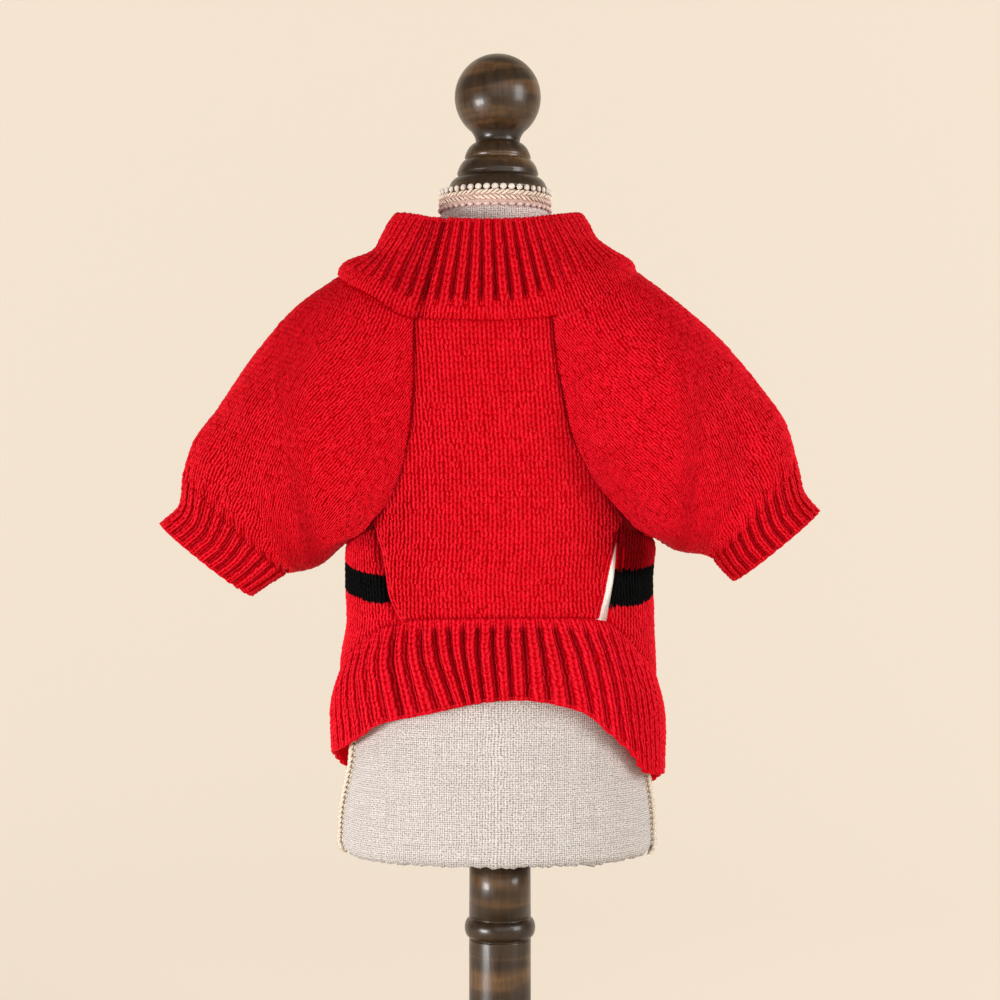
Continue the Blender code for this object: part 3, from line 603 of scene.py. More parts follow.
def braid():
    """The braid's plaits, and the loops of its two edges."""
    x, y, z = SPINDLE["verts"].T
    blocks, shades = [], []
    rng = np.random.default_rng(4)
    for row, (height, slant, colour) in enumerate(PLAIT_ROWS):
        turn = (np.arange(PLAITS) + 0.5 * row) / PLAITS * 360
        around = turn[:, None] + np.degrees((1.75 * z + 0.52 * x) / TRIM_RADIUS)
        lean = rng.uniform(0.9, 1.35, PLAITS)[:, None]
        up = height + slant * lean * z - 0.46 * slant * x + rng.normal(0, 0.1, PLAITS)[:, None]
        radius = TRIM_RADIUS + 0.15 + 0.55 * y + 0.35 * (1 - z**2) + 0 * around
        blocks.append(round_neck(around, radius, up))
        shades.append(rng.uniform(0.9, 1.08, PLAITS)[:, None] * np.array(colour))
    for height, wide, tall, colour in LOOP_ROWS:
        turn = np.arange(LOOPS) / LOOPS * 360
        around = turn[:, None] + np.degrees(x * wide / TRIM_RADIUS)
        blocks.append(round_neck(around, TRIM_RADIUS + 0.25 + y + 0 * around, height + tall * z + 0 * around))
        shades.append(rng.uniform(0.92, 1.05, LOOPS)[:, None] * np.array(colour))
    return np.concatenate(blocks) * MM, np.concatenate(shades)


plaits, plait_shades = braid()
finish("neck_trim_braid", repeated("neck_trim_braid", SPINDLE, plaits, plait_shades), "neck_trim", material=cotton)

# ---- Neck cap ----
# Three rounded steps and a ball, turned from one piece of walnut and screwed down on the neck.
CAP_CENTRE = -1.0
BALL_RADIUS, BALL_CENTRE = 19.4, 461.1


def tier(bottom_radius, top_radius, low, high, steps=8):
    """A rounded step, widest at its foot."""
    points = []
    for step in range(steps + 1):
        turn = math.pi / 2 * step / steps
        radius = top_radius + (bottom_radius - top_radius) * (0.6 * math.cos(turn) + 0.4 * (1 - step / steps))
        points.append((radius, low + (high - low) * (0.75 * math.sin(turn) + 0.25 * step / steps)))
    return points


cap_profile = [(0, NECK_TOP + 0.2), (22.6, NECK_TOP + 0.2), (22.8, 419.4)]
cap_profile += tier(21.9, 17.4, 420.6, 425.0)
cap_profile += tier(18.3, 14.0, 426.4, 433.0)
cap_profile += tier(14.9, 10.1, 433.8, 440.4)
cap_profile += [(10.0, 441.2), (10.05, 442.0), (10.3, 443.0), (10.9, 444.2)]
for step in range(27):
    turn = math.radians(-52 + 142 * step / 27)
    cap_profile.append((BALL_RADIUS * math.cos(turn), BALL_CENTRE + BALL_RADIUS * math.sin(turn)))
cap_profile.append((0, BALL_CENTRE + BALL_RADIUS))
finish("neck_cap_turned", turned(cap_profile, CAP_CENTRE), "neck_cap", "neck_cap", material=walnut)

# ---- Belly panel ----
# The panel under the dog's belly: plain knit in red wool, cut to raglan sides and sewn to the back panel
# on one side, with the other left open below the underarm.
BODY = Sizes(
    "height centre half_width front back",
    [
        (185, -1.0, 71.6, 51.5, 50.5),
        (208, -0.8, 70.7, 50.9, 49.9),
        (228, 0.2, 68.9, 50.2, 49.2),
        (245, -0.4, 69.0, 50.0, 49.0),
        (266, 0.6, 70.0, 50.3, 48.5),
        (295, 0.0, 71.0, 50.5, 48.0),
        (325, -2.0, 71.0, 50.0, 48.2),
        (345, -3.4, 70.0, 48.8, 47.6),
        (357, -4.2, 69.0, 47.5, 46.6),
        (373, -4.8, 67.6, 46.0, 45.2),
        (384, -4.8, 66.0, 44.5, 43.6),
    ],
)
BELLY = Sizes(
    "height left right",
    [
        (226, -40.5, 41.8),
        (232, -45.0, 43.2),
        (240, -48.3, 45.2),
        (249, -49.7, 47.0),
        (258, -51.3, 49.2),
        (267, -53.8, 51.2),
        (278, -48.6, 46.2),
        (289, -43.2, 39.8),
        (298, -41.0, 35.0),
        (309, -39.2, 30.6),
        (323, -37.6, 27.6),
        (337, -37.2, 25.0),
        (352, -37.2, 23.2),
        (362, -37.2, 22.2),
    ],
)
COLLAR_SEAM = Sizes(
    "angle height",
    [
        (-90, 381.0),
        (-60, 373.5),
        (-45, 368.0),
        (-28, 358.6),
        (0, 356.8),
        (24, 359.6),
        (46, 371.0),
        (70, 379.5),
        (90, 382.4),
        (135, 378.0),
        (180, 373.0),
        (225, 377.0),
    ],
    turns=True,
)
HEM_OUTLINE = Sizes(
    "angle seam edge",
    [
        (-135, 193.0, 150.5),
        (-113, 196.0, 156.5),
        (-90, 201.0, 166.0),
        (-68, 213.0, 171.0),
        (-55, 221.0, 176.0),
        (-42, 226.5, 183.3),
        (-24, 229.3, 188.0),
        (5, 229.8, 195.0),
        (28, 229.5, 189.0),
        (37, 228.6, 181.0),
        (51, 220.5, 169.6),
        (61, 213.0, 160.5),
        (90, 199.5, 157.0),
        (113, 195.0, 149.8),
        (135, 192.0, 147.5),
        (180, 188.5, 146.0),
    ],
    turns=True,
)
WALE, COURSE = 3.72, 2.5  # the width and height of a stitch
UNDERARM = 267.0


def body_point(angle, height):
    angle, height = np.broadcast_arrays(np.asarray(angle, float), np.asarray(height, float))
    x, y = oval(angle, *(BODY.read(name, height) for name in ("centre", "half_width", "front", "back")))
    return np.stack([x, y, height], axis=-1)


def front_angle(x, height):
    """The angle at which the front of the body has this x."""
    across = np.clip((x - BODY.read("centre", height)) / BODY.read("half_width", height), -1, 1)
    return np.degrees(np.arcsin(np.sign(across) * np.abs(across) ** (OVAL / 2)))


def blended(grid, a, b):
    """Reads a grid between its points."""
    i, j = np.minimum(a.astype(int), grid.shape[0] - 2), np.minimum(b.astype(int), grid.shape[1] - 2)
    s, t = a - i, b - j
    if grid.ndim > 2:
        s, t = s[..., None], t[..., None]
    near, far = grid[i, j] * (1 - s) + grid[i + 1, j] * s, grid[i, j + 1] * (1 - s) + grid[i + 1, j + 1] * s
    return near * (1 - t) + far * t


class Knit:
    """A lattice of stitches on a surface, with their facings. Wales are its columns and courses its rows."""

    def __init__(self, points, first_wale, first_course, outward):
        self.points = points
        self.first = np.array([first_wale, first_course], float)
        self.normals = unit(np.cross(np.gradient(points, axis=0), np.gradient(points, axis=1)))
        if (self.normals * outward(points)).sum(-1).mean() < 0:
            self.normals = -self.normals

    def read(self, grid, wale, course):
        a = np.clip(wale - self.first[0], 0, grid.shape[0] - 1.001)
        b = np.clip(course - self.first[1], 0, grid.shape[1] - 1.001)
        return blended(grid, a, b)

    def place(self, wale, course, lift):
        return self.read(self.points, wale, course) + lift[..., None] * self.read(self.normals, wale, course)


def stitch_template():
    """One knit stitch: two slanted legs of yarn that meet below in a V, in wales, courses and millimetres."""
    legs = []
    leg = template(lambda shape: bmesh.ops.create_uvsphere(shape, u_segments=4, v_segments=3, radius=1.0))
    t = leg["verts"]
    rise = (t[:, 2] + 1) / 2
    full = np.abs(t[:, :2]) ** 0.8 * np.sign(t[:, :2])
    for side in (-1, 1):
        across = side * (0.18 + 0.14 * rise) + 0.265 * full[:, 0]
        along = -0.86 + 1.72 * rise + 0.14 * side * full[:, 0]
        lift = 0.44 * full[:, 1] - 0.28 + 0.20 * np.sin(math.pi * np.minimum(1, rise * 1.2)) - 0.18 * rise**3
        legs.append(np.stack([across, along, lift], axis=-1))
    count = len(t)
    return {
        "verts": np.concatenate(legs),
        "loops": np.concatenate([leg["loops"], leg["loops"] + count]),
        "sizes": np.tile(leg["sizes"], 2),
        # the outward side of each leg, where its painted highlight lies
        "highlight_crown": np.tile(np.maximum(full[:, 1], 0), 2),
    }


STITCH = stitch_template()


def stitches(knit, wales, courses, rng, width=1.0, relief=None, sink=None, unevenness=1.0):
    """The stitches at these wales and courses: where each vertex lies, and its tone, stripe and painted shade, which
    is darker where they lie deep in a groove or a seam.
    """
    t = STITCH["verts"]
    count = len(wales)
    tilt = rng.normal(0, 0.10, count) * unevenness
    size = 1 + rng.normal(0, 0.055, count) * unevenness
    shift = rng.normal(0, 0.045, (2, count)) * unevenness
    a = t[None, :, 0] * (np.broadcast_to(width, count) * size)[:, None]
    b = t[None, :, 1] * size[:, None] + tilt[:, None] * t[None, :, 0] * 0.6
    wale = wales[:, None] + a + shift[0][:, None]
    course = courses[:, None] + b + shift[1][:, None]
    lift = t[None, :, 2] * size[:, None] + rng.normal(0, 0.07, count)[:, None] * unevenness
    # depth is painted shade: stitches lying deeper in a groove or drawn in by a seam are painted darker.
    depth = np.zeros_like(lift)
    if relief is not None:
        down = relief(wale, course)
        lift = lift + down
        depth = np.clip(0.175 * (-down - 0.4), 0, 0.52)
    places = knit.place(wale, course, lift)
    if sink is not None:
        down = sink(places)
        places = places - down[..., None] * knit.read(knit.normals, wale, course)
        depth = np.maximum(depth, np.clip(0.36 * (down - 0.35), 0, 0.9))
    tone = np.clip(rng.normal(0.5, 0.22, count), 0, 1)[:, None]
    return places * MM, np.stack([tone + 0 * depth, 0 * depth, depth], axis=-1)


def edge_row(points, normals, rng, width=2.4, pitch=2.5, lift=0.0, closed=False):
    """A row of loops chained along a path, as it lies on a seam, a slit's edge or a cast-off edge."""
    lengths = lengths_along(points)
    count = int(lengths[-1] / pitch)
    t = STITCH["verts"]
    at = (np.arange(count)[:, None] + 0.5 + t[None, :, 1]) * lengths[-1] / count
    at = at % lengths[-1] if closed else at
    out = follow(at, lengths, normals)
    side = unit(np.cross(follow(at, lengths, np.gradient(points, lengths, axis=0)), out))
    places = follow(at, lengths, points) + (t[:, 0] * width)[:, None] * side + (t[:, 2] + lift)[:, None] * out
    tone = np.clip(rng.normal(0.5, 0.16, count), 0, 1)[:, None] + 0 * at
    return places * MM, np.stack([tone, 0 * tone, 0 * tone], axis=-1)


def wool_finish(name):
    """Brushed wool yarn: soft twisted fibres, with lighter and darker stitches. A painted highlight lies on the
    outward side of each leg, painted shade darkens grooves, seams and the places under the sleeves, and a faint glow
    in the yarn's own colour is painted light that lifts its shade.
    """
    red, deep = (0.585, 0.0010, 0.009), (0.47, 0.0003, 0.004)
    painted_highlight_pink, black = (0.58, 0.019, 0.038), (0.003, 0.003, 0.003)
    material, shader = new_material(name, red, 0.5)
    # The yarn glows a little in its own colour: painted light that lifts its shade.
    shader.inputs["Emission Strength"].default_value = 0.26
    where = node(material, "ShaderNodeTexCoord").outputs["Object"]
    fibres = noise(material, mapped(material, where, (1500, 1500, 900)), 1.0, 4, 0.65)
    clouds = noise(material, where, 55, 3)
    shade = node(material, "ShaderNodeSeparateColor")
    attribute = node(material, "ShaderNodeAttribute", attribute_name="shade")
    join(material, (attribute.outputs["Color"], shade.inputs["Color"]))
    yarn = mixed(material, shade.outputs["Red"], deep, red)
    yarn = mixed(material, scaled(material, clouds, 0.0, 0.30), yarn, deep)
    fuzz = ramp(material, fibres, [(0.34, (0.76, 0.70, 0.70)), (0.66, (1.09, 1.14, 1.14))])
    yarn = mixed(material, 1.0, yarn, fuzz, "MULTIPLY")
    grain = noise(material, mapped(material, where, (430, 430, 300)), 1.0, 2)
    grain = ramp(material, grain, [(0.36, (0.88, 0.60, 0.70)), (0.62, (1.03, 1.25, 1.20))])
    yarn = mixed(material, 1.0, yarn, grain, "MULTIPLY")
    # A painted highlight: the outward side of each leg is mixed towards a light pink where the fibres are thick.
    highlight_crown = ramp(material, attribute.outputs["Alpha"], [(0.35, (0, 0, 0)), (0.95, (1, 1, 1))])
    painted_highlight_fibres = ramp(material, fibres, [(0.40, (0.1, 0.1, 0.1)), (0.62, (0.9, 0.9, 0.9))])
    yarn = mixed(material, mixed(material, 1.0, highlight_crown, painted_highlight_fibres, "MULTIPLY"), yarn, painted_highlight_pink)
    yarn = mixed(material, shade.outputs["Green"], yarn, black)
    # The shade attribute's blue is painted shade: the yarn is darkened, and its gloss lowered, in grooves, seams and
    # under the sleeves. The gloss is lowered on the black stripe too.
    yarn = mixed(material, shade.outputs["Blue"], yarn, mixed(material, 1.0, yarn, (0.14, 0.06, 0.07), "MULTIPLY"))
    dull = node(material, "ShaderNodeMath", operation="MAXIMUM")
    join(material, (shade.outputs["Green"], dull.inputs[0]), (shade.outputs["Blue"], dull.inputs[1]))
    gloss = node(material, "ShaderNodeMapRange", {"From Min": 0.0, "From Max": 0.8, "To Min": 0.04, "To Max": 0.01})
    join(material, (dull.outputs[0], gloss.inputs["Value"]))
    join(material, (gloss.outputs["Result"], shader.inputs["Specular IOR Level"]))
    join(material, (yarn, shader.inputs["Base Color"]), (yarn, shader.inputs["Emission Color"]))
    bumped(material, shader, fibres, 0.30, 0.0006)
    return material


def ground_finish(name):
    """The yarn between and behind the stitches, in shade."""
    material, shader = new_material(name, (0.55, 0.0012, 0.010), 0.95)
    shader.inputs["Specular IOR Level"].default_value = 0.05
    # It glows a little: painted light that lifts the shade between the stitches.
    shader.inputs["Emission Strength"].default_value = 0.34
    where = node(material, "ShaderNodeTexCoord").outputs["Object"]
    loops = node(material, "ShaderNodeTexVoronoi", {"Scale": 420.0}, feature="F1")
    shade = node(material, "ShaderNodeSeparateColor")
    attribute = node(material, "ShaderNodeAttribute", attribute_name="shade")
    join(material, (where, loops.inputs["Vector"]), (attribute.outputs["Color"], shade.inputs["Color"]))
    yarn = ramp(material, loops.outputs["Distance"], [(0.1, (0.58, 0.0008, 0.006)), (0.8, (0.46, 0.0003, 0.003))])
    yarn = mixed(material, shade.outputs["Green"], yarn, (0.004, 0.003, 0.003))
    # Where the shade attribute's blue is set, the ground is painted near black: painted shadow under the arms.
    yarn = mixed(material, shade.outputs["Blue"], yarn, (0.05, 0.0002, 0.001))
    join(material, (yarn, shader.inputs["Base Color"]), (yarn, shader.inputs["Emission Color"]))
    bumped(material, shader, loops.outputs["Distance"], 0.6, 0.0006)
    return material


wool, ground = wool_finish("red_wool"), ground_finish("red_wool_inside")
SHELL_DEPTH, SHELL_WALL = 0.85, 0.75


def knitted(label, places, shades):
    """A piece's stitches as one mesh."""
    name = f"{label}_stitches"
    return finish(name, repeated(name, STITCH, places, shades), label, material=wool)


def shell(label, grid, place, closed, held, flat, area, rests_on, stitched, stripe=None):
    """The knitted ground of a piece: one closed thin sheet under its stitches."""
    shape = cloth_grid(*grid, place, closed)
    bmesh.ops.recalc_face_normals(shape, faces=shape.faces)
    bmesh.ops.solidify(shape, geom=shape.faces[:], thickness=SHELL_WALL * MM)
    bmesh.ops.recalc_face_normals(shape, faces=shape.faces)
    piece = finish(f"{label}_knit", shape, label, label, material=ground)
    points = np.array([v.co[:] for v in piece.data.vertices]) / MM
    turn = np.abs(np.degrees(np.arctan2(points[:, 0], -1.4 * points[:, 1])))
    # The ground is painted dark in the corners under the arms: painted shadow.
    underarm = np.clip(1.5 * bell(turn - 48, 14) * bell(points[:, 2] - 270, 11), 0, 0.95)
    none = 0 * underarm
    shades = np.stack([none, stripe(points) if stripe else none, underarm, none + 1], axis=-1)
    attribute = piece.data.attributes.new("shade", "FLOAT_COLOR", "POINT")
    attribute.data.foreach_set("color", shades.astype(np.float32).ravel())


def facing_out(points):
    """The level way out from the body's middle."""
    return (points - (-1.5, 0.0, 0.0)) * (1, 1, 0)


def sunk(points, depth):
    """Points moved in from the body's face."""
    return points - depth[:, None] * unit(facing_out(points))


def wrapped(angle):
    return (angle + 180) % 360 - 180


def body_lattice(first_wale, last_wale, low, high, droop=None):
    """Wales that hang straight down the body, counted from its front centre, and courses counted upwards from low."""
    wales = np.arange(first_wale, last_wale + 1)
    heights = np.arange(low, high + COURSE, COURSE)
    fine = np.linspace(-200, 560, 3041)
    grid = np.zeros((len(wales), len(heights), 3))
    for j, height in enumerate(heights):
        along = lengths_along(body_point(fine, height))
        along -= np.interp(0.0, fine, along)
        angle = np.interp(wales * WALE, along, fine)
        grid[:, j] = body_point(angle, height - (droop(wrapped(angle), height) if droop else 0))
    return Knit(grid, first_wale, 0, facing_out)


def stitch_grid(wales, courses):
    """Every wale with every course. A stitch lies in the middle of its course."""
    wales, courses = np.meshgrid(wales, courses, indexing="ij")
    return wales.ravel().astype(float), courses.ravel() + 0.5


BELLY_LOW = 224.0
belly_knit = body_lattice(-18, 18, BELLY_LOW, 368.0)


def belly_edges(points):
    """How far inside the belly panel's left, right, lower and upper edges each point lies, in millimetres."""
    x, height = points[..., 0], points[..., 2]
    tucked = 5.0 * progress(height, UNDERARM - 1, UNDERARM + 3) * progress(height, 310, 284)  # under the sleeves
    left = (x - BELLY.read("left", height) + tucked) * 0.93
    right = (BELLY.read("right", height) - x + tucked) * 0.93
    angle = front_angle(x, height)
    return left, right, height - HEM_OUTLINE.read("seam", angle), COLLAR_SEAM.read("height", angle) - height


def seam_dip(inside, depth, reach):
    """How deep a seam draws the cloth in, at a distance inside it. Past the seam the cloth dives under."""
    return depth * bell(np.maximum(inside, 0), reach) + 2.2 * np.clip(-inside / 1.6, 0, 1.5)


def belly_sink(points):
    """The seams draw the cloth in."""
    left, right, lower, upper = belly_edges(points)
    sewn = points[..., 2] > UNDERARM - 3
    beside = seam_dip(left, np.where(sewn, 1.5, 0.2), 1.7) + np.where(sewn, seam_dip(right, 1.5, 1.7), 0.0)
    ridge = 0.7 * bell(lower - 2.7, 1.2)
    return beside + seam_dip(lower, 0.7, 1.3) + seam_dip(upper, 0.5, 1.3) - ridge


rng = np.random.default_rng(11)
wales, courses = stitch_grid(np.arange(-17, 18), np.arange(57))
middles = belly_knit.place(wales, courses, 0 * wales)
left, right, lower, upper = belly_edges(middles)
free = middles[:, 2] < UNDERARM - 3
kept = (left > np.where(free, 0.5, -1.3)) & (right > np.where(free, 1.8, -1.3)) & (lower > -0.8) & (upper > -0.8)
places, shades = stitches(belly_knit, wales[kept], courses[kept], rng, sink=belly_sink)


def on_body(x, height, lift=0.0):
    """A path on the front of the body, with its facings."""
    path = body_point(front_angle(x, height), height)
    outward = unit(facing_out(path) * (1.0, 1.9, 1.0))
    return path + lift * outward, outward


def joined(*rows):
    """Rows of stitches put together: their places and their tints."""
    return [np.concatenate(part) for part in zip(*rows)]


# Painted shade: a dark line along the sewn raglan seams, and a broad shade on the panel's right beside the underarm.
x, height = places[..., 0] / MM, places[..., 2] / MM
low_seam = progress(height, UNDERARM - 3, UNDERARM + 1) * progress(height, 322, 306)
by_left, by_right = x - BELLY.read("left", height), BELLY.read("right", height) - x
line = 0.8 * np.maximum(bell(by_left + 1.2, 2.0), bell(by_right + 1.2, 2.2))
shadow = 0.42 * bell(np.maximum(by_right, 0), 9) * progress(height, 246, 264) * progress(height, 330, 290)
shades[..., 2] = np.maximum(shades[..., 2], np.maximum(line * low_seam, shadow))
# The whole panel is painted a little darker: painted shade.
shades[..., 0] -= 0.5
slit_heights = np.linspace(229.0, 266.0, 30)
right_row = edge_row(*on_body(BELLY.read("right", slit_heights) - 1.0, slit_heights, -0.1), rng, width=2.8)
# The slit's right edge row is painted darker towards its top: painted shade.
right_row[1][..., 2] = 0.85 * np.clip((right_row[0][..., 2] / MM - 253) / 7, 0, 1)
left_heights = np.linspace(228.0, 268.0, 30)
left_row = edge_row(*on_body(BELLY.read("left", left_heights) + 1.2, left_heights), rng, width=2.8)
places, shades = joined((places, shades), right_row, left_row)
belly_stitches = knitted("belly_panel", places, shades)


def belly_place(across, along):
    height = BELLY_LOW + 2 + along * 140
    for _ in range(12):
        sewn = progress(height, UNDERARM, UNDERARM + 5)
        left, right = BELLY.read("left", height) + 0.2 - 6.0 * sewn, BELLY.read("right", height) + 0.3 + 5.5 * sewn
        angle = front_angle(left * (1 - across) + right * across, height)
        low, high = HEM_OUTLINE.read("seam", angle) - 1.5, COLLAR_SEAM.read("height", angle) + 1.5
        height = low + (high - low) * along
    points = body_point(angle, height)
    return sunk(points, SHELL_DEPTH + 0.9 * np.minimum(belly_sink(points), 2.6))


under_panel = ["form_torso_linen"]
shell("belly_panel", (44, 56), belly_place, False, "stretched", (0.112, 0.135), 0.0108, under_panel, belly_stitches)

# ---- Back panel ----
# The panel over the dog's back: plain knit with one black stripe, from the belly seam round the back
# to the open slit, sewn in red wool to the sleeves and the collar.
BACK_EDGE = Sizes(
    "height left right",
    [
        (226, -40.5, 47.0),
        (232, -45.0, 47.8),
        (240, -48.3, 49.4),
        (249, -49.7, 50.8),
        (258, -51.3, 51.4),
        (267, -53.8, 51.8),
    ],
)
UNDERARM_DIP = 4.0
BACK_RAGLAN_LOW, BACK_RAGLAN_HIGH = 132.0, 153.0
RAGLAN_TOP = 358.5


def underarm_corner(side):
    """The angle at which a front raglan seam meets the underarm."""
    return front_angle(BELLY.read("left" if side < 0 else "right", UNDERARM), UNDERARM)


def underarm_height(side, angle):
    start = underarm_corner(side)
    return UNDERARM - UNDERARM_DIP * np.sin(np.pi * progress(angle, start, side * BACK_RAGLAN_LOW))


def back_raglan(side, share):
    """A back raglan seam from the underarm at share 0 to the collar at share 1."""
    angle = side * (BACK_RAGLAN_LOW + (BACK_RAGLAN_HIGH - BACK_RAGLAN_LOW) * share)
    high = COLLAR_SEAM.read("height", side * BACK_RAGLAN_HIGH)
    return angle, UNDERARM + (high - UNDERARM) * share


def side_angle(edges, edge):
    """The angle at which a side of a panel meets the hem band."""
    angle = 0.0
    for _ in range(30):
        height = HEM_OUTLINE.read("seam", angle)
        angle = float(front_angle(edges.read(edge, height), height))
    return angle


def true_angle(points):
    """The body's own angle at points on it."""
    height = points[..., 2]
    across = (points[..., 0] - BODY.read("centre", height)) / BODY.read("half_width", height)
    depth = np.where(points[..., 1] < 0, BODY.read("front", height), BODY.read("back", height))
    ahead = -points[..., 1] / depth
    return np.degrees(np.arctan2(bent(across, 4 / OVAL), bent(ahead, 4 / OVAL)))


def back_top(angle):
    """The back panel's upper edge at an angle: under the sleeves, along the back raglans and under the collar."""
    size, side = np.abs(angle), np.where(angle < 0, -1.0, 1.0)
    highest = COLLAR_SEAM.read("height", side * BACK_RAGLAN_HIGH)
    slope = UNDERARM + (highest - UNDERARM) * progress(size, BACK_RAGLAN_LOW, BACK_RAGLAN_HIGH)
    under = np.where(angle < 0, underarm_height(-1, angle), underarm_height(1, angle))
    above = np.where(size < BACK_RAGLAN_HIGH, slope, COLLAR_SEAM.read("height", angle))
    return np.where(size < BACK_RAGLAN_LOW, under, above)


def tucked_under(angle):
    """How far the panel runs on under the sleeves at its front corners."""
    return np.where(angle > 0, 9.0, 5.0) * bell(np.abs(angle) - 54, 10)


def back_edges(points):
    """How far inside the back panel's left, right, lower and upper edges each point lies, in millimetres."""
    angle, height, x = true_angle(points), points[..., 2], points[..., 0]
    ahead = points[..., 1] < 0
    left = np.where(ahead & (angle < 0), (BACK_EDGE.read("left", height) - x) * 1.25, 50)
    right = np.where(ahead & (angle > 0), (x - BACK_EDGE.read("right", height)) * 1.25, 50)
    left = np.where(ahead & (np.abs(angle) < 25), -5, left)
    raglan = (np.abs(angle) > BACK_RAGLAN_LOW) & (np.abs(angle) < BACK_RAGLAN_HIGH)
    upper = (back_top(angle) - height) * np.where(raglan, 0.24, 1.0) + tucked_under(angle)
    return left, right, height - HEM_OUTLINE.read("seam", angle), upper


def back_sink(points):
    """The seams draw the cloth in, but only a little where the form lies just under it."""
    left, right, lower, upper = back_edges(points)
    depth = seam_dip(left, 2.4, 3.0) + seam_dip(lower, 0.7, 1.4) + seam_dip(upper, 1.8, 2.4)
    close = (points[..., 1] > 0) & (points[..., 0] > 10) & (points[..., 2] > 290)
    return np.where(close, np.minimum(depth, 0.9), depth)


STRIPE_COURSES = (22, 26)  # the first and last black courses


def droop(angle, height):
    """How far the courses hang down towards the panel's two front edges."""
    left = 5.5 * progress(angle, -87, -53) * (angle < 0)
    right = 3.6 * progress(height, 262, 254) + 3.4 * progress(height, 253.5, 241)
    return left + right * progress(angle, 100, 60) * (angle > 0)


def stripe_mask(courses, slack=0.0):
    return ((courses > STRIPE_COURSES[0] - slack) & (courses < STRIPE_COURSES[1] + 1 + slack)).astype(float)


BACK_LOW = 186.0
back_knit = body_lattice(8, 98, BACK_LOW, 386.0, droop)
rng = np.random.default_rng(12)
wales, courses = stitch_grid(np.arange(9, 98), np.arange(79))
left, right, lower, upper = back_edges(back_knit.place(wales, courses, 0 * wales))
kept = (left > -1.2) & (right > 1.9) & (lower > -0.8) & (upper > -0.9)
places, shades = stitches(back_knit, wales[kept], courses[kept], rng, sink=back_sink)
angle, height = true_angle(places / MM), places[..., 2] / MM
# Painted shadows: beside the belly panel's edge, and under both sleeves.
shadow_by_belly = bell(np.maximum(back_edges(places / MM)[0], 0), 4.5) * np.clip((height - 238) / 18, 0.25, 1)
under_sleeve = progress(angle, 38, 42) * progress(angle, 104, 60) * progress(height, 246, 250)
shadow_under_left = progress(angle, -38, -42) * progress(angle, -88, -72) * progress(height, 258, 265)
for shadow in (0.75 * shadow_by_belly, 0.95 * under_sleeve, 0.5 * shadow_under_left):
    shades[..., 2] = np.maximum(shades[..., 2], shadow)
tips = courses[kept][:, None] + STITCH["verts"][None, :, 1]
shades[..., 1] = stripe_mask(courses[kept])[:, None] * stripe_mask(tips, 0.25)
# The lower left of the panel is painted lighter: painted light.
shades[..., 0] += 0.5 * progress(angle, -30, -55) * progress(height, 242, 228)


def back_course(points):
    """The course of the back panel at points on it."""
    angle, height = true_angle(points), points[..., 2]
    for _ in range(8):
        height = 0.5 * (height + points[..., 2] + droop(angle, height))
    return (height - BACK_LOW) / COURSE


row_places, row_shades = edge_row(*on_body(BACK_EDGE.read("right", slit_heights) + 1.0, slit_heights), rng, width=2.8)
# The slit's back edge row is painted dark below the sleeve: painted shadow.
row_shades[..., 2] = 0.95 * progress(row_places[..., 2] / MM, 246, 250)
row_shades[..., 1] = stripe_mask(back_course(row_places / MM), 0.25)
back_stitches = knitted("back_panel", *joined((places, shades), (row_places, row_shades)))
SIDE_SHARE = 0.15  # how much of the panel's width follows the slant of each side edge


def back_place(across, along):
    start, end = side_angle(BACK_EDGE, "right"), side_angle(BACK_EDGE, "left") + 360
    angle = start + (end - start) * across
    inner_right, inner_left = start + (end - start) * SIDE_SHARE, start + (end - start) * (1 - SIDE_SHARE)
    height = 230 + 0 * angle
    for _ in range(20):
        right = front_angle(BACK_EDGE.read("right", height), height)
        left = front_angle(BACK_EDGE.read("left", height), height) + 360
        by_right = right + (inner_right - right) * across / SIDE_SHARE
        by_left = left + (inner_left - left) * (1 - across) / SIDE_SHARE
        turn = wrapped(np.where(across < SIDE_SHARE, by_right, np.where(across > 1 - SIDE_SHARE, by_left, angle)))
        beside = 18.0 * progress(np.abs(turn), 124, 130) * progress(np.abs(turn), 156, 152)  # under the raglan seam
        low, high = HEM_OUTLINE.read("seam", turn) - 1.5, back_top(turn) + 2.5 + tucked_under(turn) + beside
        high = np.minimum(high, COLLAR_SEAM.read("height", turn) + 5)
        height = low + (high - low) * along
    points = body_point(turn, height)
    return sunk(points, SHELL_DEPTH + 0.15 + 0.8 * np.minimum(back_sink(points), 2.4))


def back_stripe(points):
    return stripe_mask(back_course(points), 0.25)


back_size = (0.335, 0.19), 0.0295
shell("back_panel", (150, 88), back_place, False, "stretched", *back_size, under_panel, back_stitches, back_stripe)

# ---- Sleeves ----
# Two plain knit sleeves, set in on the raglan seams from the collar round the underarm,
# each gathered a little where its cuff begins.
SLEEVE_COLUMNS = "station top_x top_z under_x under_z half_depth"
SLEEVES = {
    "left": Sizes(
        SLEEVE_COLUMNS,
        [
            (1, -89.6, 368.0, -79.0, 252.0, 43.0),
            (2, -109.4, 346.0, -85.4, 248.8, 39.0),
            (3, -126.2, 321.5, -90.5, 247.8, 34.0),
            (4, -137.8, 305.7, -93.5, 247.4, 29.0),
            (5, -142.6, 291.0, -96.0, 246.8, 24.0),
        ],
    ),
    "right": Sizes(
        SLEEVE_COLUMNS,
        [
            (1, 77.3, 370.3, 79.0, 257.4, 43.0),
            (2, 98.3, 352.3, 84.5, 256.2, 39.0),
            (3, 115.5, 332.3, 89.5, 255.7, 34.0),
            (4, 128.1, 314.5, 92.8, 254.9, 29.0),
            (5, 133.8, 296.0, 96.0, 253.2, 24.0),
        ],
    ),
}
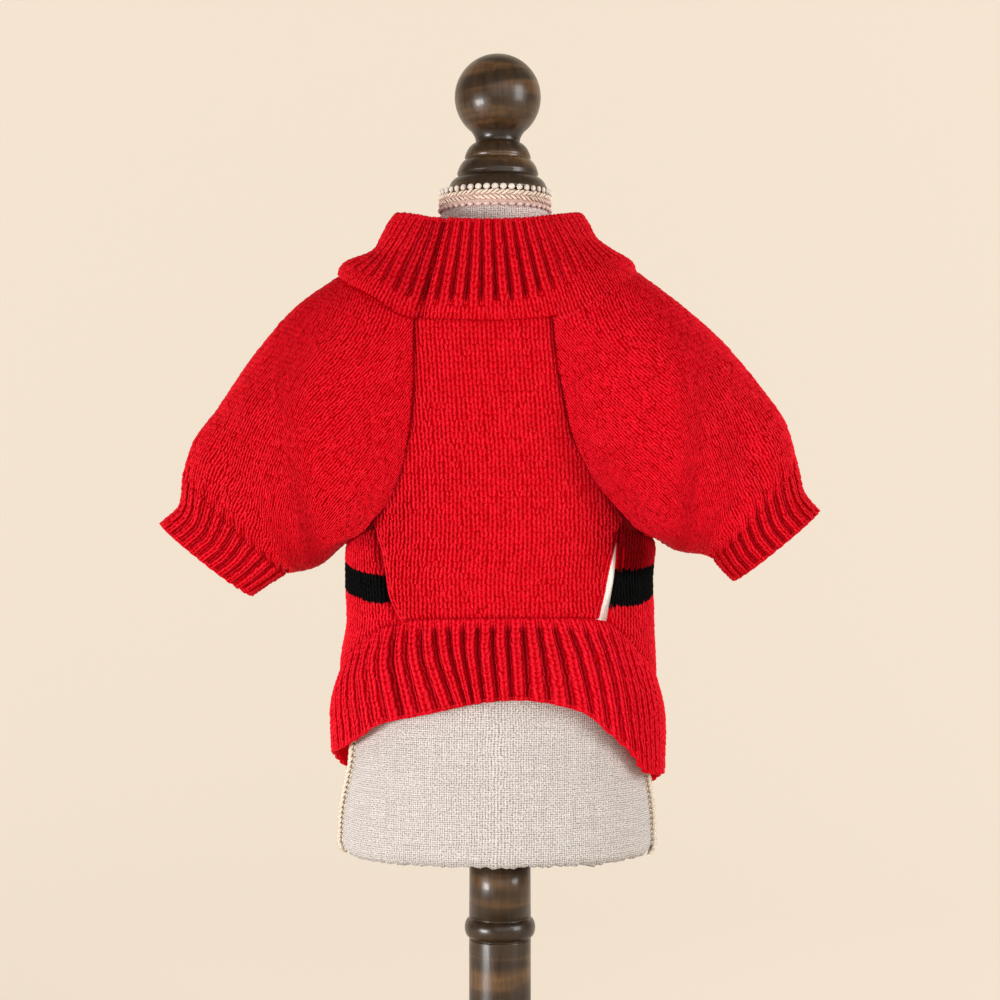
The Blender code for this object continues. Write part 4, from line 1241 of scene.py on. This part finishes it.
CREASES = {  # ring angle from the top point with 90 at the front, spread, depth, first and last station
    "left": [
        (48, 17, 2.6, 0.2, 2.2),
        (70, 13, 3.0, 2.8, 5.0),
        (113, 13, 1.8, 3.4, 5.0),
        (236, 15, 2.2, 3.0, 5.0),
        (290, 15, 2.8, 2.4, 5.0),
    ],
    "right": [
        (78, 13, 3.2, 2.2, 5.0),
        (108, 12, 2.2, 3.2, 5.0),
        (128, 15, 2.6, 0.2, 2.2),
        (244, 15, 2.4, 2.8, 5.0),
        (296, 15, 2.4, 3.0, 5.0),
    ],
}
COLLAR_LEVELS = Sizes(
    "level centre half_width front back front_height side_height back_height",
    [
        (0.20, -4.2, 63.8, 47.3, 44.2, 365.5, 386.5, 379.0),
        (0.45, -3.2, 53.4, 46.0, 42.6, 377.0, 392.5, 386.5),
        (0.65, -5.2, 48.6, 44.3, 41.0, 386.0, 397.5, 393.0),
        (0.85, -5.2, 45.3, 42.3, 39.4, 395.0, 403.8, 400.0),
        (1.00, -5.2, 42.0, 40.5, 38.0, 401.5, 408.3, 405.5),
    ],
)
CUFF_WALES = 56
AROUND = 176  # points round each ring of the sleeve
TUBE_ROUNDNESS = 2.15
CORNER_RINGS, CORNER_REACH = (0, 1, 3, 5, 7), 26  # where rows of stitches fill the corner behind the underarm


def collar_rings(angle):
    """Rings of the collar's outer face at its levels, the seam first."""
    seam = body_point(angle, COLLAR_SEAM.read("height", angle))
    ahead = np.cos(np.radians(angle))
    rings = [seam]
    for place in COLLAR_LEVELS.rows[:, 0]:
        x, y = oval(angle, *(COLLAR_LEVELS.read(name, place) for name in ("centre", "half_width", "front", "back")))
        side, facing, behind = (COLLAR_LEVELS.read(f"{name}_height", place) for name in ("side", "front", "back"))
        height = side + np.where(ahead > 0, facing - side, behind - side) * ahead**2
        rings.append(np.stack([x, y, height], axis=-1))
    return np.array(rings)


def armhole(side):
    """The loop that a sleeve is sewn to, from the shoulder round the front, the underarm and the back."""
    edge = "left" if side < 0 else "right"
    corner = float(front_angle(BELLY.read(edge, RAGLAN_TOP), RAGLAN_TOP))
    share = np.linspace(0, 1, 60, endpoint=False)
    high = COLLAR_SEAM.read("height", corner)
    height = high + (UNDERARM - high) * share
    start = underarm_corner(side)
    under_angle = np.concatenate([start + (side * 90 - start) * share, side * (90 + (BACK_RAGLAN_LOW - 90) * share)])
    parts = [  # each stretch of the loop, and its weight when the sleeve's columns are shared out
        (collar_rings(side * 90 + (corner - side * 90) * share)[0], 9),
        (body_point(front_angle(BELLY.read(edge, height), height), height), 9),
        (body_point(under_angle, underarm_height(side, under_angle)), 8),
        (body_point(*back_raglan(side, share)), 9),
        (collar_rings(side * (BACK_RAGLAN_HIGH + (90 - BACK_RAGLAN_HIGH) * share))[0], 9),
    ]
    weights = np.concatenate([np.full(len(part), weight / len(part)) for part, weight in parts])
    at = np.concatenate([[0], np.cumsum(weights)]) / sum(weight for _, weight in parts)
    loop = np.vstack([part for part, _ in parts] + [parts[0][0][:1]])
    return follow(np.arange(AROUND) / AROUND, at, loop)


def tube_ring(sizes, station, ring_angle):
    """A ring of a sleeve or cuff. Ring angle 0 is its top point and 90 faces the front."""
    top = np.array([sizes.read("top_x", station), 0, sizes.read("top_z", station)], float)
    under = np.array([sizes.read("under_x", station), 0, sizes.read("under_z", station)], float)
    rad = np.radians(ring_angle)
    ring = (top + under) / 2 + (top - under) / 2 * bent(np.cos(rad), TUBE_ROUNDNESS)[:, None]
    ring[:, 1] = -sizes.read("half_depth", station) * bent(np.sin(rad), TUBE_ROUNDNESS)
    return ring


def tube_normals(grid):
    """Unit normals of a tube of points, ring by ring, facing away from its inside."""
    around = np.roll(grid, -1, axis=1) - np.roll(grid, 1, axis=1)
    normals = unit(np.cross(around, np.gradient(grid, axis=0)))
    away = ((grid - grid.mean(axis=1, keepdims=True)) * normals).sum()
    return normals if away > 0 else -normals


def sleeve_surface(name, rows=101):
    """The sleeve's outer face as rings of points from the armhole to the cuff."""
    ring_angle = np.arange(AROUND) * 360 / AROUND
    start = armhole(-1 if name == "left" else 1)
    keys = np.array([start] + [tube_ring(SLEEVES[name], s, ring_angle) for s in range(1, 6)])
    places = np.linspace(0, 5, rows)
    grid = np.array([smooth_read(np.arange(6.0), keys, place) for place in places])
    normals = tube_normals(grid)
    for centre, spread, deepest, first, last in CREASES[name]:
        along = np.sin(math.pi * progress(places, first, last))[:, None]
        depth = deepest * along * bell(wrapped(ring_angle - centre), spread)[None, :]
        grid = grid - depth[..., None] * normals
    return places, grid


def squared(paths, lengths, room):
    """How many courses each wale is shifted by, so that the courses run square across the wales."""
    offsets = {0: 0.0}
    for sign in (1, -1):
        for k in range(1, max(paths) + 1):
            near, here = sign * (k - 1), sign * k
            at = np.linspace(0, min(lengths[near][-1], lengths[here][-1]), 60)
            first, second = (follow(at, lengths[wale], paths[wale][::-1]) for wale in (near, here))
            clear = np.interp(at, lengths[here], room[here][::-1]) > 0.5
            shift = ((second - first) * unit(np.gradient(second, axis=0))).sum(1)
            shift = shift[clear].mean() if clear.any() else 0.0
            offsets[here] = offsets[near] - shift / COURSE
    return offsets


def away_from(middle):
    """Tells which way is out of a tube that lies round these middle points."""

    def away(points):
        flat = points.reshape(-1, 3)
        nearest = np.argmin(((flat[:, None] - middle[None]) ** 2).sum(-1), axis=1)
        return (flat - middle[nearest]).reshape(points.shape)

    return away


def eased(share):
    """A share from 0 to 1 that starts and ends gently."""
    return share * share * (3 - 2 * share)


def sleeve_lattice(name):
    """Wales that run down beside the top line and end at the underside, with courses counted up from the cuff."""
    places, grid = sleeve_surface(name)
    closed = np.concatenate([grid, grid[:, :1]], axis=1)
    half = AROUND // 2
    paths, room = {}, {}
    gather = eased(progress(places, 3.2, 5.0))
    lean = -38.0 * progress(places, 1.6, 0) ** 1.3  # the wales start at the collar, not at the raglan seam
    for sign in (1, -1):
        side = closed[:, : half + 1] if sign > 0 else closed[:, half:][:, ::-1]
        along = lengths_along(side.transpose(1, 0, 2)).T
        tight = along[-1, -1] / (CUFF_WALES / 2)
        pitch = WALE + (tight - WALE) * gather
        for k in range(0 if sign > 0 else 1, 51):
            raw = k * pitch + (lean if k else 0)
            across = np.clip(raw, 0, along[:, -1])
            paths[sign * k] = np.array([follow(across[r], along[r], side[r]) for r in range(len(places))])
            room[sign * k] = np.minimum(along[:, -1] - raw, raw + 0.6) if k else along[:, -1]
    order = sorted(paths)
    lengths = {k: lengths_along(paths[k][::-1]) for k in order}
    offsets = squared(paths, lengths, room)
    starts = np.array([-offsets[k] for k in order])
    ends = np.array([lengths[k][-1] / COURSE - offsets[k] for k in order])
    first = int(starts.min()) - 2
    courses = np.arange(first, int(ends.max()) + 3)
    points = np.array([follow((courses + offsets[k]) * COURSE, lengths[k], paths[k][::-1]) for k in order])
    spare = np.array([np.interp((courses + offsets[k]) * COURSE, lengths[k], room[k][::-1]) for k in order])
    return Knit(points, order[0], first, away_from(grid.mean(axis=1))), spare, starts, ends, order


def groove(wale, sharpness):
    """0 on the even wales, the ribs, and 1 on the odd ones between them."""
    return ((1 - np.cos(math.pi * wale)) / 2) ** sharpness


def finger_troughs(wale, from_cuff):
    """The cuff's ribs begin in the sleeve's last courses, some sooner than others."""
    begin = np.random.default_rng(5).uniform(1.5, 5.5, 200)
    share = np.clip(1 - from_cuff / begin[(np.round(wale).astype(int)) % 200], 0, 1)
    return -1.8 * groove(wale, 1.4) * eased(share)


def build_sleeve(name, seed):
    knit, spare, starts, ends, order = sleeve_lattice(name)
    rng = np.random.default_rng(seed)
    rows = np.arange(knit.points.shape[1] - 1) + knit.first[1]
    wales, courses = stitch_grid(np.arange(order[0] + 1, order[-1]), rows)
    room = knit.read(spare, wales, courses)
    start, end = starts[(wales - order[0]).astype(int)], ends[(wales - order[0]).astype(int)]
    kept = (room > -0.1 * WALE) & (courses < end + 0.3) & (courses > start - 0.3)
    wales, courses = wales[kept], courses[kept]

    def relief(wale, course):
        to_armhole = (np.interp(wale, order, ends) - course) * COURSE
        from_cuff = course - np.interp(wale, order, starts)
        under = knit.read(spare, wale, course)
        past = 1.5 * np.clip(-to_armhole / 1.6, 0, 1.5)
        return finger_troughs(wale, from_cuff) - seam_dip(to_armhole, 0.3, 1.6) + past - seam_dip(under, 1.0, 1.8)

    places, shades = stitches(knit, wales, courses, rng, relief=relief, unevenness=1.6)
    # The left sleeve is painted darker, and the right one lighter low down: painted shade and painted light.
    shades[..., 0] += -0.5 if name == "left" else 0.30 * progress(places[..., 2] / MM, 300, 270)
    label = f"sleeve_{name}"
    grid = sleeve_surface(name, 61)[1]
    normals = tube_normals(grid)
    corner = body_point(BACK_RAGLAN_LOW if name == "right" else -BACK_RAGLAN_LOW, UNDERARM)
    nearest = int(np.argmin(np.linalg.norm(grid[0] - corner, axis=1)))
    behind = (nearest + np.arange(-CORNER_REACH, CORNER_REACH + 1)) % AROUND
    rows = [edge_row(grid[r, behind], normals[r, behind], rng, width=2.7, lift=-0.2) for r in CORNER_RINGS]
    stitched = knitted(label, *joined((places, shades), *rows))
    beyond, outward = unit(grid[0] - grid[2]), unit(facing_out(grid[0]))
    grid[0] += 2.4 * beyond - 2.6 * outward
    grid[1] += 0.8 * beyond - 0.4 * outward
    grid, normals = (np.concatenate([rings, rings[:, :1]], axis=1) for rings in (grid, normals))

    def place(across, along):
        a, b = along * (len(grid) - 1), across * AROUND
        edge = 1.0 * bell(along, 0.03) + 1.4 * progress(along, 0.80, 0.92)
        return blended(grid, a, b) - (SHELL_DEPTH + edge)[:, None] * blended(normals, a, b)

    under_sleeve = ["form_torso_linen", "belly_panel_knit", "back_panel_knit"]
    shell(label, (AROUND // 2, 60), place, True, "hung", (0.30, 0.125), 0.0245, under_sleeve, stitched)


build_sleeve("left", 21)
build_sleeve("right", 22)

# ---- Cuffs ----
# A ribbed cuff on each sleeve: raised knit ribs with sunk grooves between them, cast off in a soft edge.
CUFFS = {
    "left": Sizes(
        SLEEVE_COLUMNS,
        [
            (0, -142.6, 291.0, -96.0, 246.8, 24.0),
            (0.5, -143.8, 279.2, -104.2, 241.6, 20.0),
            (1, -153.0, 269.7, -111.6, 236.6, 19.0),
        ],
    ),
    "right": Sizes(
        SLEEVE_COLUMNS,
        [
            (0, 133.8, 296.0, 96.0, 253.2, 24.0),
            (0.5, 136.6, 284.5, 100.0, 248.0, 20.0),
            (1, 143.8, 275.3, 104.8, 243.4, 19.0),
        ],
    ),
}


def tube_lattice(surface, wale_count, even_ring, straight=False):
    """Wales spread evenly round one ring of a tube and led along it, with courses from its first ring onwards."""
    rows, around = surface.shape[:2]
    closed = np.concatenate([surface, surface[:, :1]], axis=1)
    wales = np.arange(-1, wale_count + 2)
    tracks = np.zeros((rows, len(wales), 3))
    along = lengths_along(closed[even_ring])
    at = np.interp((wales % wale_count) / wale_count * along[-1], along, np.arange(around + 1))
    turns = at / around * 360 - 180 + 360 * (wales // wale_count)

    def on_ring(r, places):
        return follow(places, np.arange(around + 1), closed[r])

    first, last = on_ring(0, at), on_ring(-1, at)
    front = np.arange(around // 4, 3 * around // 4 + 1)
    weight = progress(np.abs(wrapped(turns)), 72, 42) if straight else 0 * at
    for r in range(rows):
        share = progress(on_ring(r, at)[:, 2], first[:, 2], last[:, 2])
        level = np.interp(first[:, 0] + (last[:, 0] - first[:, 0]) * share, closed[r, front, 0], front)
        tracks[r] = on_ring(r, at * (1 - weight) + level * weight)
    lengths = lengths_along(tracks)
    count = int(round(lengths[-1].mean() / COURSE))
    shares = np.arange(count + 1) / count
    points = np.array([follow(shares * lengths[-1, w], lengths[:, w], tracks[:, w]) for w in range(len(wales))])
    knit = Knit(points, -1, 0, away_from(surface.mean(axis=1)))
    knit.turns = turns
    return knit, count


def turn_at(knit, wale):
    """The angle round the body at which a wale of a tube starts."""
    return np.interp(wale, np.arange(len(knit.turns)) - 1, knit.turns)


def ribbed(knit, wale_count, course_count, relief, rng, raised, width, plain=0.0):
    """A ribbed band's raised stitches, with all those of its plain courses, or else the sunk ones between."""
    wales, courses = stitch_grid(np.arange(wale_count), np.arange(course_count))
    even = courses < plain
    part = ((wales % 2 == 0) | even) == raised
    if raised:
        return stitches(knit, wales[part], courses[part], rng, width=np.where(even, 1.0, width)[part], relief=relief)
    return stitches(knit, wales[part], courses[part] + 0.4, rng, width=width, relief=lambda w, c: relief(w, c) - 0.2)


def cast_off(knit, wale_count, relief, rng, course=0.3):
    """The chain that closes a ribbed edge. It follows the ribs by most of their depth."""
    wale = np.linspace(0, wale_count, 8 * wale_count + 1)
    level = np.full(len(wale), course)
    path = knit.place(wale, level, 0.85 * relief(wale, level))
    return edge_row(path, knit.read(knit.normals, wale, level), rng, 1.7, 2.9, -0.25, closed=True)


def band_place(knit, wale_count, course_count, relief):
    """Lays the ground of a ribbed band under its stitches."""

    def place(across, along):
        wale, course = across * wale_count, along * course_count
        return knit.place(wale, course, relief(wale, course) - 1.0)

    return place


def cuff_relief(wale, course):
    return -2.0 * groove(wale, 1.8)


def build_cuff(name, seed):
    ring_angle = np.arange(AROUND) * 360 / AROUND
    surface = np.array([tube_ring(CUFFS[name], station, ring_angle) for station in np.linspace(1, 0, 25)])
    knit, count = tube_lattice(surface, CUFF_WALES, -1)
    rng = np.random.default_rng(seed)
    places, shades = joined(
        ribbed(knit, CUFF_WALES, count, cuff_relief, rng, True, 1.3),
        ribbed(knit, CUFF_WALES, count, cuff_relief, rng, False, 0.75),
        cast_off(knit, CUFF_WALES, cuff_relief, rng),
    )
    # Painted shade: the cuffs are painted a little darker.
    shades[..., 0] -= 0.35
    label = f"cuff_{name}"
    stitched = knitted(label, places, shades)
    place = band_place(knit, CUFF_WALES, count, cuff_relief)
    shell(label, (CUFF_WALES * 2, 16), place, True, "hung", (0.165, 0.027), None, [f"sleeve_{name}_knit"], stitched)


build_cuff("left", 31)
build_cuff("right", 32)

# ---- Collar ----
# A ribbed band, joined by one upright seam, drawn up round the neck and sewn to the body and the sleeves
# through a few rows of plain knit.
COLLAR_RIBS = 58
ROLL = Sizes("angle lift", [(-125, 0.0), (-90, 1.6), (-70, 3.4), (-50, 3.9), (-36, 3.6), (-27, 0.0)])


def collar_surface(rows=33, around=480):
    angle = np.linspace(-180, 180, around, endpoint=False)
    levels = np.concatenate([[0.0], COLLAR_LEVELS.rows[:, 0]])
    rings = collar_rings(angle)
    at = np.linspace(0, 1, rows)
    grid = np.array([smooth_read(levels, rings, level) for level in at])
    normals = tube_normals(grid)
    share = np.interp(at, [0, 0.1, 0.24, 0.34], [1, 1, 0.25, 0])
    lift = ROLL.read("lift", angle) * (angle > -125) * (angle < -27)
    return grid + (share[:, None] * lift[None, :])[..., None] * normals


collar_wales = 2 * COLLAR_RIBS
collar_knit, collar_courses = tube_lattice(collar_surface(), collar_wales, 16, True)
COLLAR_GROOVES = Sizes(  # how deep the grooves are, and how many courses of plain knit lie below them
    "angle depth plain",
    [
        (-180, 2.0, 2.4),
        (-100, 1.7, 2.4),
        (-60, 1.6, 2.6),
        (-34, 2.0, 2.6),
        (-24, 3.2, 2.4),
        (8, 3.4, 2.6),
        (20, 2.8, 3.4),
        (32, 1.5, 4.4),
        (50, 1.1, 5.0),
        (75, 1.2, 4.0),
        (110, 1.8, 2.6),
    ],
    turns=True,
)


def odd_wale(knit, angle):
    """The groove nearest to an angle."""
    wales = np.arange(len(knit.turns)) - 1
    odd = wales % 2 == 1
    return wales[odd][np.argmin(np.abs(knit.turns[odd] - angle))]


collar_join = odd_wale(collar_knit, -27.0)


def collar_relief(wale, course):
    angle = turn_at(collar_knit, wale)
    share = np.clip((course - COLLAR_GROOVES.read("plain", angle) + 0.3) / 2.0, 0, 1)
    depth = COLLAR_GROOVES.read("depth", angle) * (1 - 0.6 * np.clip(course / collar_courses, 0, 1) ** 1.2)
    join = 2.0 * bell(wale - collar_join, 0.75)
    fold = 1.3 * bell(wale - collar_join + 3.0, 2.4)  # the cloth beside the seam folds in
    sewn = np.where(np.abs(angle + 60) < 65, 0.7, 0.2) * bell(course * COURSE, 1.4)
    return -depth * groove(wale, 2.3) * eased(share) - join - fold - sewn


def seam_row(rng):
    """One course of stitches that covers the collar's seam on the right."""
    wales = np.arange(len(collar_knit.turns) - 2.0)
    wales = wales[(collar_knit.turns[1:-1] > 24) & (collar_knit.turns[1:-1] < 120)]
    row = stitches(collar_knit, wales, 0 * wales + 0.95, rng, relief=lambda w, c: 0.1 + 0 * c)
    foot, above = (collar_knit.read(collar_knit.points, wales, 0 * wales + course) for course in (0, 1))
    row[0][:] += 1.3 * MM * (foot - above)[:, None, :]
    return row


rng = np.random.default_rng(41)
wales, courses = stitch_grid(np.arange(collar_wales), np.arange(collar_courses))
plain = COLLAR_GROOVES.read("plain", turn_at(collar_knit, wales))
ribs = ribbed(collar_knit, collar_wales, collar_courses, collar_relief, rng, True, 1.38, plain)
over_seam = seam_row(rng)
collar_places, collar_shades = joined(
    ribs,
    ribbed(collar_knit, collar_wales, collar_courses, collar_relief, rng, False, 0.7, plain),
    over_seam,
    cast_off(collar_knit, collar_wales, collar_relief, rng, course=collar_courses - 0.4),
)
# Painted shade: the collar is painted a little darker.
collar_shades[..., 0] -= 0.4
collar_stitches = knitted("collar", collar_places, collar_shades)


def collar_place(across, along):
    wale, course = across * collar_wales, along * collar_courses
    angle = turn_at(collar_knit, wale)
    rolled = ROLL.read("lift", angle) * (angle > -125) * (angle < -27)
    back_in = (rolled + np.minimum(rolled, 1)) * np.clip(1 - along * 24, 0, 1)  # under the roll, back to its seam
    return collar_knit.place(wale, course, collar_relief(wale, course) - 1.0 - back_in)


under_collar = ["belly_panel_knit", "back_panel_knit", "sleeve_left_knit", "sleeve_right_knit"]
collar_grid = (2 * collar_wales, 24)
shell("collar", collar_grid, collar_place, True, "gathered", (0.33, 0.048), None, under_collar, collar_stitches)

# ---- Hem band ----
# A ribbed band, joined by one upright seam and sewn to the belly and back panels, cast off below.
HEM_RIBS = 64
HEM_EDGE = {"centre": -0.9, "half_width": 74.6, "front": 52.8, "back": 51.2}
SLANT = Sizes(  # how many degrees each rib has moved round by the free edge
    "angle turn",
    [
        (-100, 0),
        (-68, 5),
        (-50, 7),
        (-35, 8.5),
        (-25, 10),
        (-18, 8.5),
        (-12, 5),
        (-5, 2.5),
        (4, 1.5),
        (12, 4),
        (22, 9),
        (38, 12),
        (60, 7),
        (90, 0),
    ],
)


def hem_surface(rows=33, around=480):
    """Rings of the band's outer face from its free edge up to its seam."""
    even = np.linspace(-180, 180, around, endpoint=False)
    turn = SLANT.read("turn", even)
    rings = []
    for level in np.linspace(1, 0, rows):
        angle = even + turn * level
        seam = body_point(angle, HEM_OUTLINE.read("seam", angle))
        x, y = oval(angle, **HEM_EDGE)
        edge = np.stack([x, y, HEM_OUTLINE.read("edge", angle)], axis=-1)
        spread = math.sin(math.pi / 2 * min(1.0, level / 0.5))
        ring = seam * (1 - spread) + edge * spread
        ring[:, :2] *= 1 + 0.8 / HEM_EDGE["half_width"] * math.sin(math.pi * level)
        ring[:, 2] = seam[:, 2] * (1 - level) + edge[:, 2] * level
        rings.append(ring)
    return np.array(rings)


hem_wales = 2 * HEM_RIBS
hem_knit, hem_courses = tube_lattice(hem_surface(), hem_wales, -1)
HEM_GROOVES = Sizes(
    "angle depth",
    [
        (-180, 2.0),
        (-90, 1.8),
        (-60, 1.9),
        (-42, 2.2),
        (-30, 3.0),
        (0, 3.3),
        (15, 2.9),
        (32, 2.2),
        (55, 1.8),
        (90, 1.9),
    ],
    turns=True,
)
hem_join = odd_wale(hem_knit, -38.0)


def hem_relief(wale, course):
    share = np.clip((hem_courses - 0.9 - course) / 1.6, 0, 1)
    depth = HEM_GROOVES.read("depth", turn_at(hem_knit, wale)) * (0.75 + 0.25 * course / hem_courses)
    join = 1.6 * bell(wale - hem_join, 0.75)
    return -depth * groove(wale, 2.3) * eased(share) - join


rng = np.random.default_rng(51)
hem_places, hem_shades = joined(
    ribbed(hem_knit, hem_wales, hem_courses, hem_relief, rng, True, 1.36),
    ribbed(hem_knit, hem_wales, hem_courses, hem_relief, rng, False, 0.75),
    cast_off(hem_knit, hem_wales, hem_relief, rng),
)
# Painted light: the band is painted lighter away from its middle, on both sides.
hem_shades[..., 0] += 0.8 * progress(np.abs(hem_places[..., 0] / MM + 5), 25, 50)
hem_stitches = knitted("hem_band", hem_places, hem_shades)
hem_place = band_place(hem_knit, hem_wales, hem_courses, hem_relief)
under_hem = ["belly_panel_knit", "back_panel_knit"]
shell("hem_band", (2 * hem_wales, 20), hem_place, True, "hung", (0.42, 0.045), None, under_hem, hem_stitches)

# ---- Studio ----
# A seamless warm paper sweep. The object is lit softly from low on the left, from high on the right and
# from the front, and two soft boxes light the paper alone.
FLOOR, BEND_START, BEND, PAPER_WIDTH = -0.0005, 0.45, 0.9, 6.0  # in metres
sweep = bmesh.new()
points = [(-PAPER_WIDTH / 2, -1.2, FLOOR), (-PAPER_WIDTH / 2, BEND_START, FLOOR)]
for step in range(1, 13):
    turn = math.pi / 2 * step / 12
    across = BEND_START + BEND * math.sin(turn)
    points.append((-PAPER_WIDTH / 2, across, BEND - BEND * math.cos(turn) + FLOOR))
points.append((-PAPER_WIDTH / 2, BEND_START + BEND, 3.0))
verts = [sweep.verts.new(point) for point in points]
edges = [sweep.edges.new(pair) for pair in zip(verts, verts[1:])]
extruded = bmesh.ops.extrude_edge_only(sweep, edges=edges)
far_edge = [v for v in extruded["geom"] if isinstance(v, bmesh.types.BMVert)]
bmesh.ops.translate(sweep, verts=far_edge, vec=(PAPER_WIDTH, 0, 0))
bmesh.ops.recalc_face_normals(sweep, faces=sweep.faces)
sweep_mesh = bpy.data.meshes.new("paper_sweep")
sweep.to_mesh(sweep_mesh)
sweep.free()
sweep_mesh.shade_smooth()
paper, paper_shader = new_material("warm_paper", (0.26, 0.225, 0.19), 0.95)
paper_shader.inputs["Emission Color"].default_value = (0.877, 0.763, 0.624, 1)
paper_shader.inputs["Emission Strength"].default_value = 0.69
sweep_mesh.materials.append(paper)
backdrop = bpy.data.objects.new("paper_sweep", sweep_mesh)
bpy.context.scene.collection.objects.link(backdrop)


def soft_box(name, place, target, size, power):
    """A soft box that faces a point. Those on the backdrop don't show as reflections."""
    light = bpy.data.lights.new(name, "AREA")
    light.shape = "RECTANGLE"
    light.size, light.size_y = size
    light.energy = power
    lamp = bpy.data.objects.new(name, light)
    lamp.location = place
    way = np.array(target) - np.array(place)
    lamp.rotation_euler = (math.atan2(math.hypot(way[0], way[1]), -way[2]), 0, math.atan2(-way[0], way[1]))
    bpy.context.scene.collection.objects.link(lamp)
    lamp.visible_glossy = "backdrop" not in name


soft_box("left_low", (-0.85, -0.66, 0.10), (0, 0, 0.16), (0.40, 0.24), 12.5)
soft_box("right_high", (1.0, -0.62, 0.56), (0, 0, 0.28), (0.50, 0.70), 11)
soft_box("front", (0.25, -1.5, 0.75), (0, 0, 0.24), (1.6, 1.1), 7.5)
soft_box("backdrop_left", (-1.4, 0.3, 1.0), (-0.2, 1.3, 0.4), (0.6, 1.4), 8)
soft_box("backdrop_right", (1.4, 0.3, 1.0), (0.2, 1.3, 0.4), (0.6, 1.4), 8)
world = bpy.data.worlds.new("studio")
world.use_nodes = True
world.node_tree.nodes["Background"].inputs["Color"].default_value = (1.0, 0.95, 0.88, 1)
world.node_tree.nodes["Background"].inputs["Strength"].default_value = 0.25
bpy.context.scene.world = world
bpy.context.scene.view_settings.view_transform = "Standard"

lens = bpy.data.cameras.new("camera")
lens.lens, lens.sensor_width = 72.0, 36.0
camera = bpy.data.objects.new("camera", lens)
camera.location = (0.0, -0.9, 0.28)
camera.rotation_euler = (math.pi / 2, 0, 0)
bpy.context.scene.collection.objects.link(camera)
bpy.context.scene.camera = camera
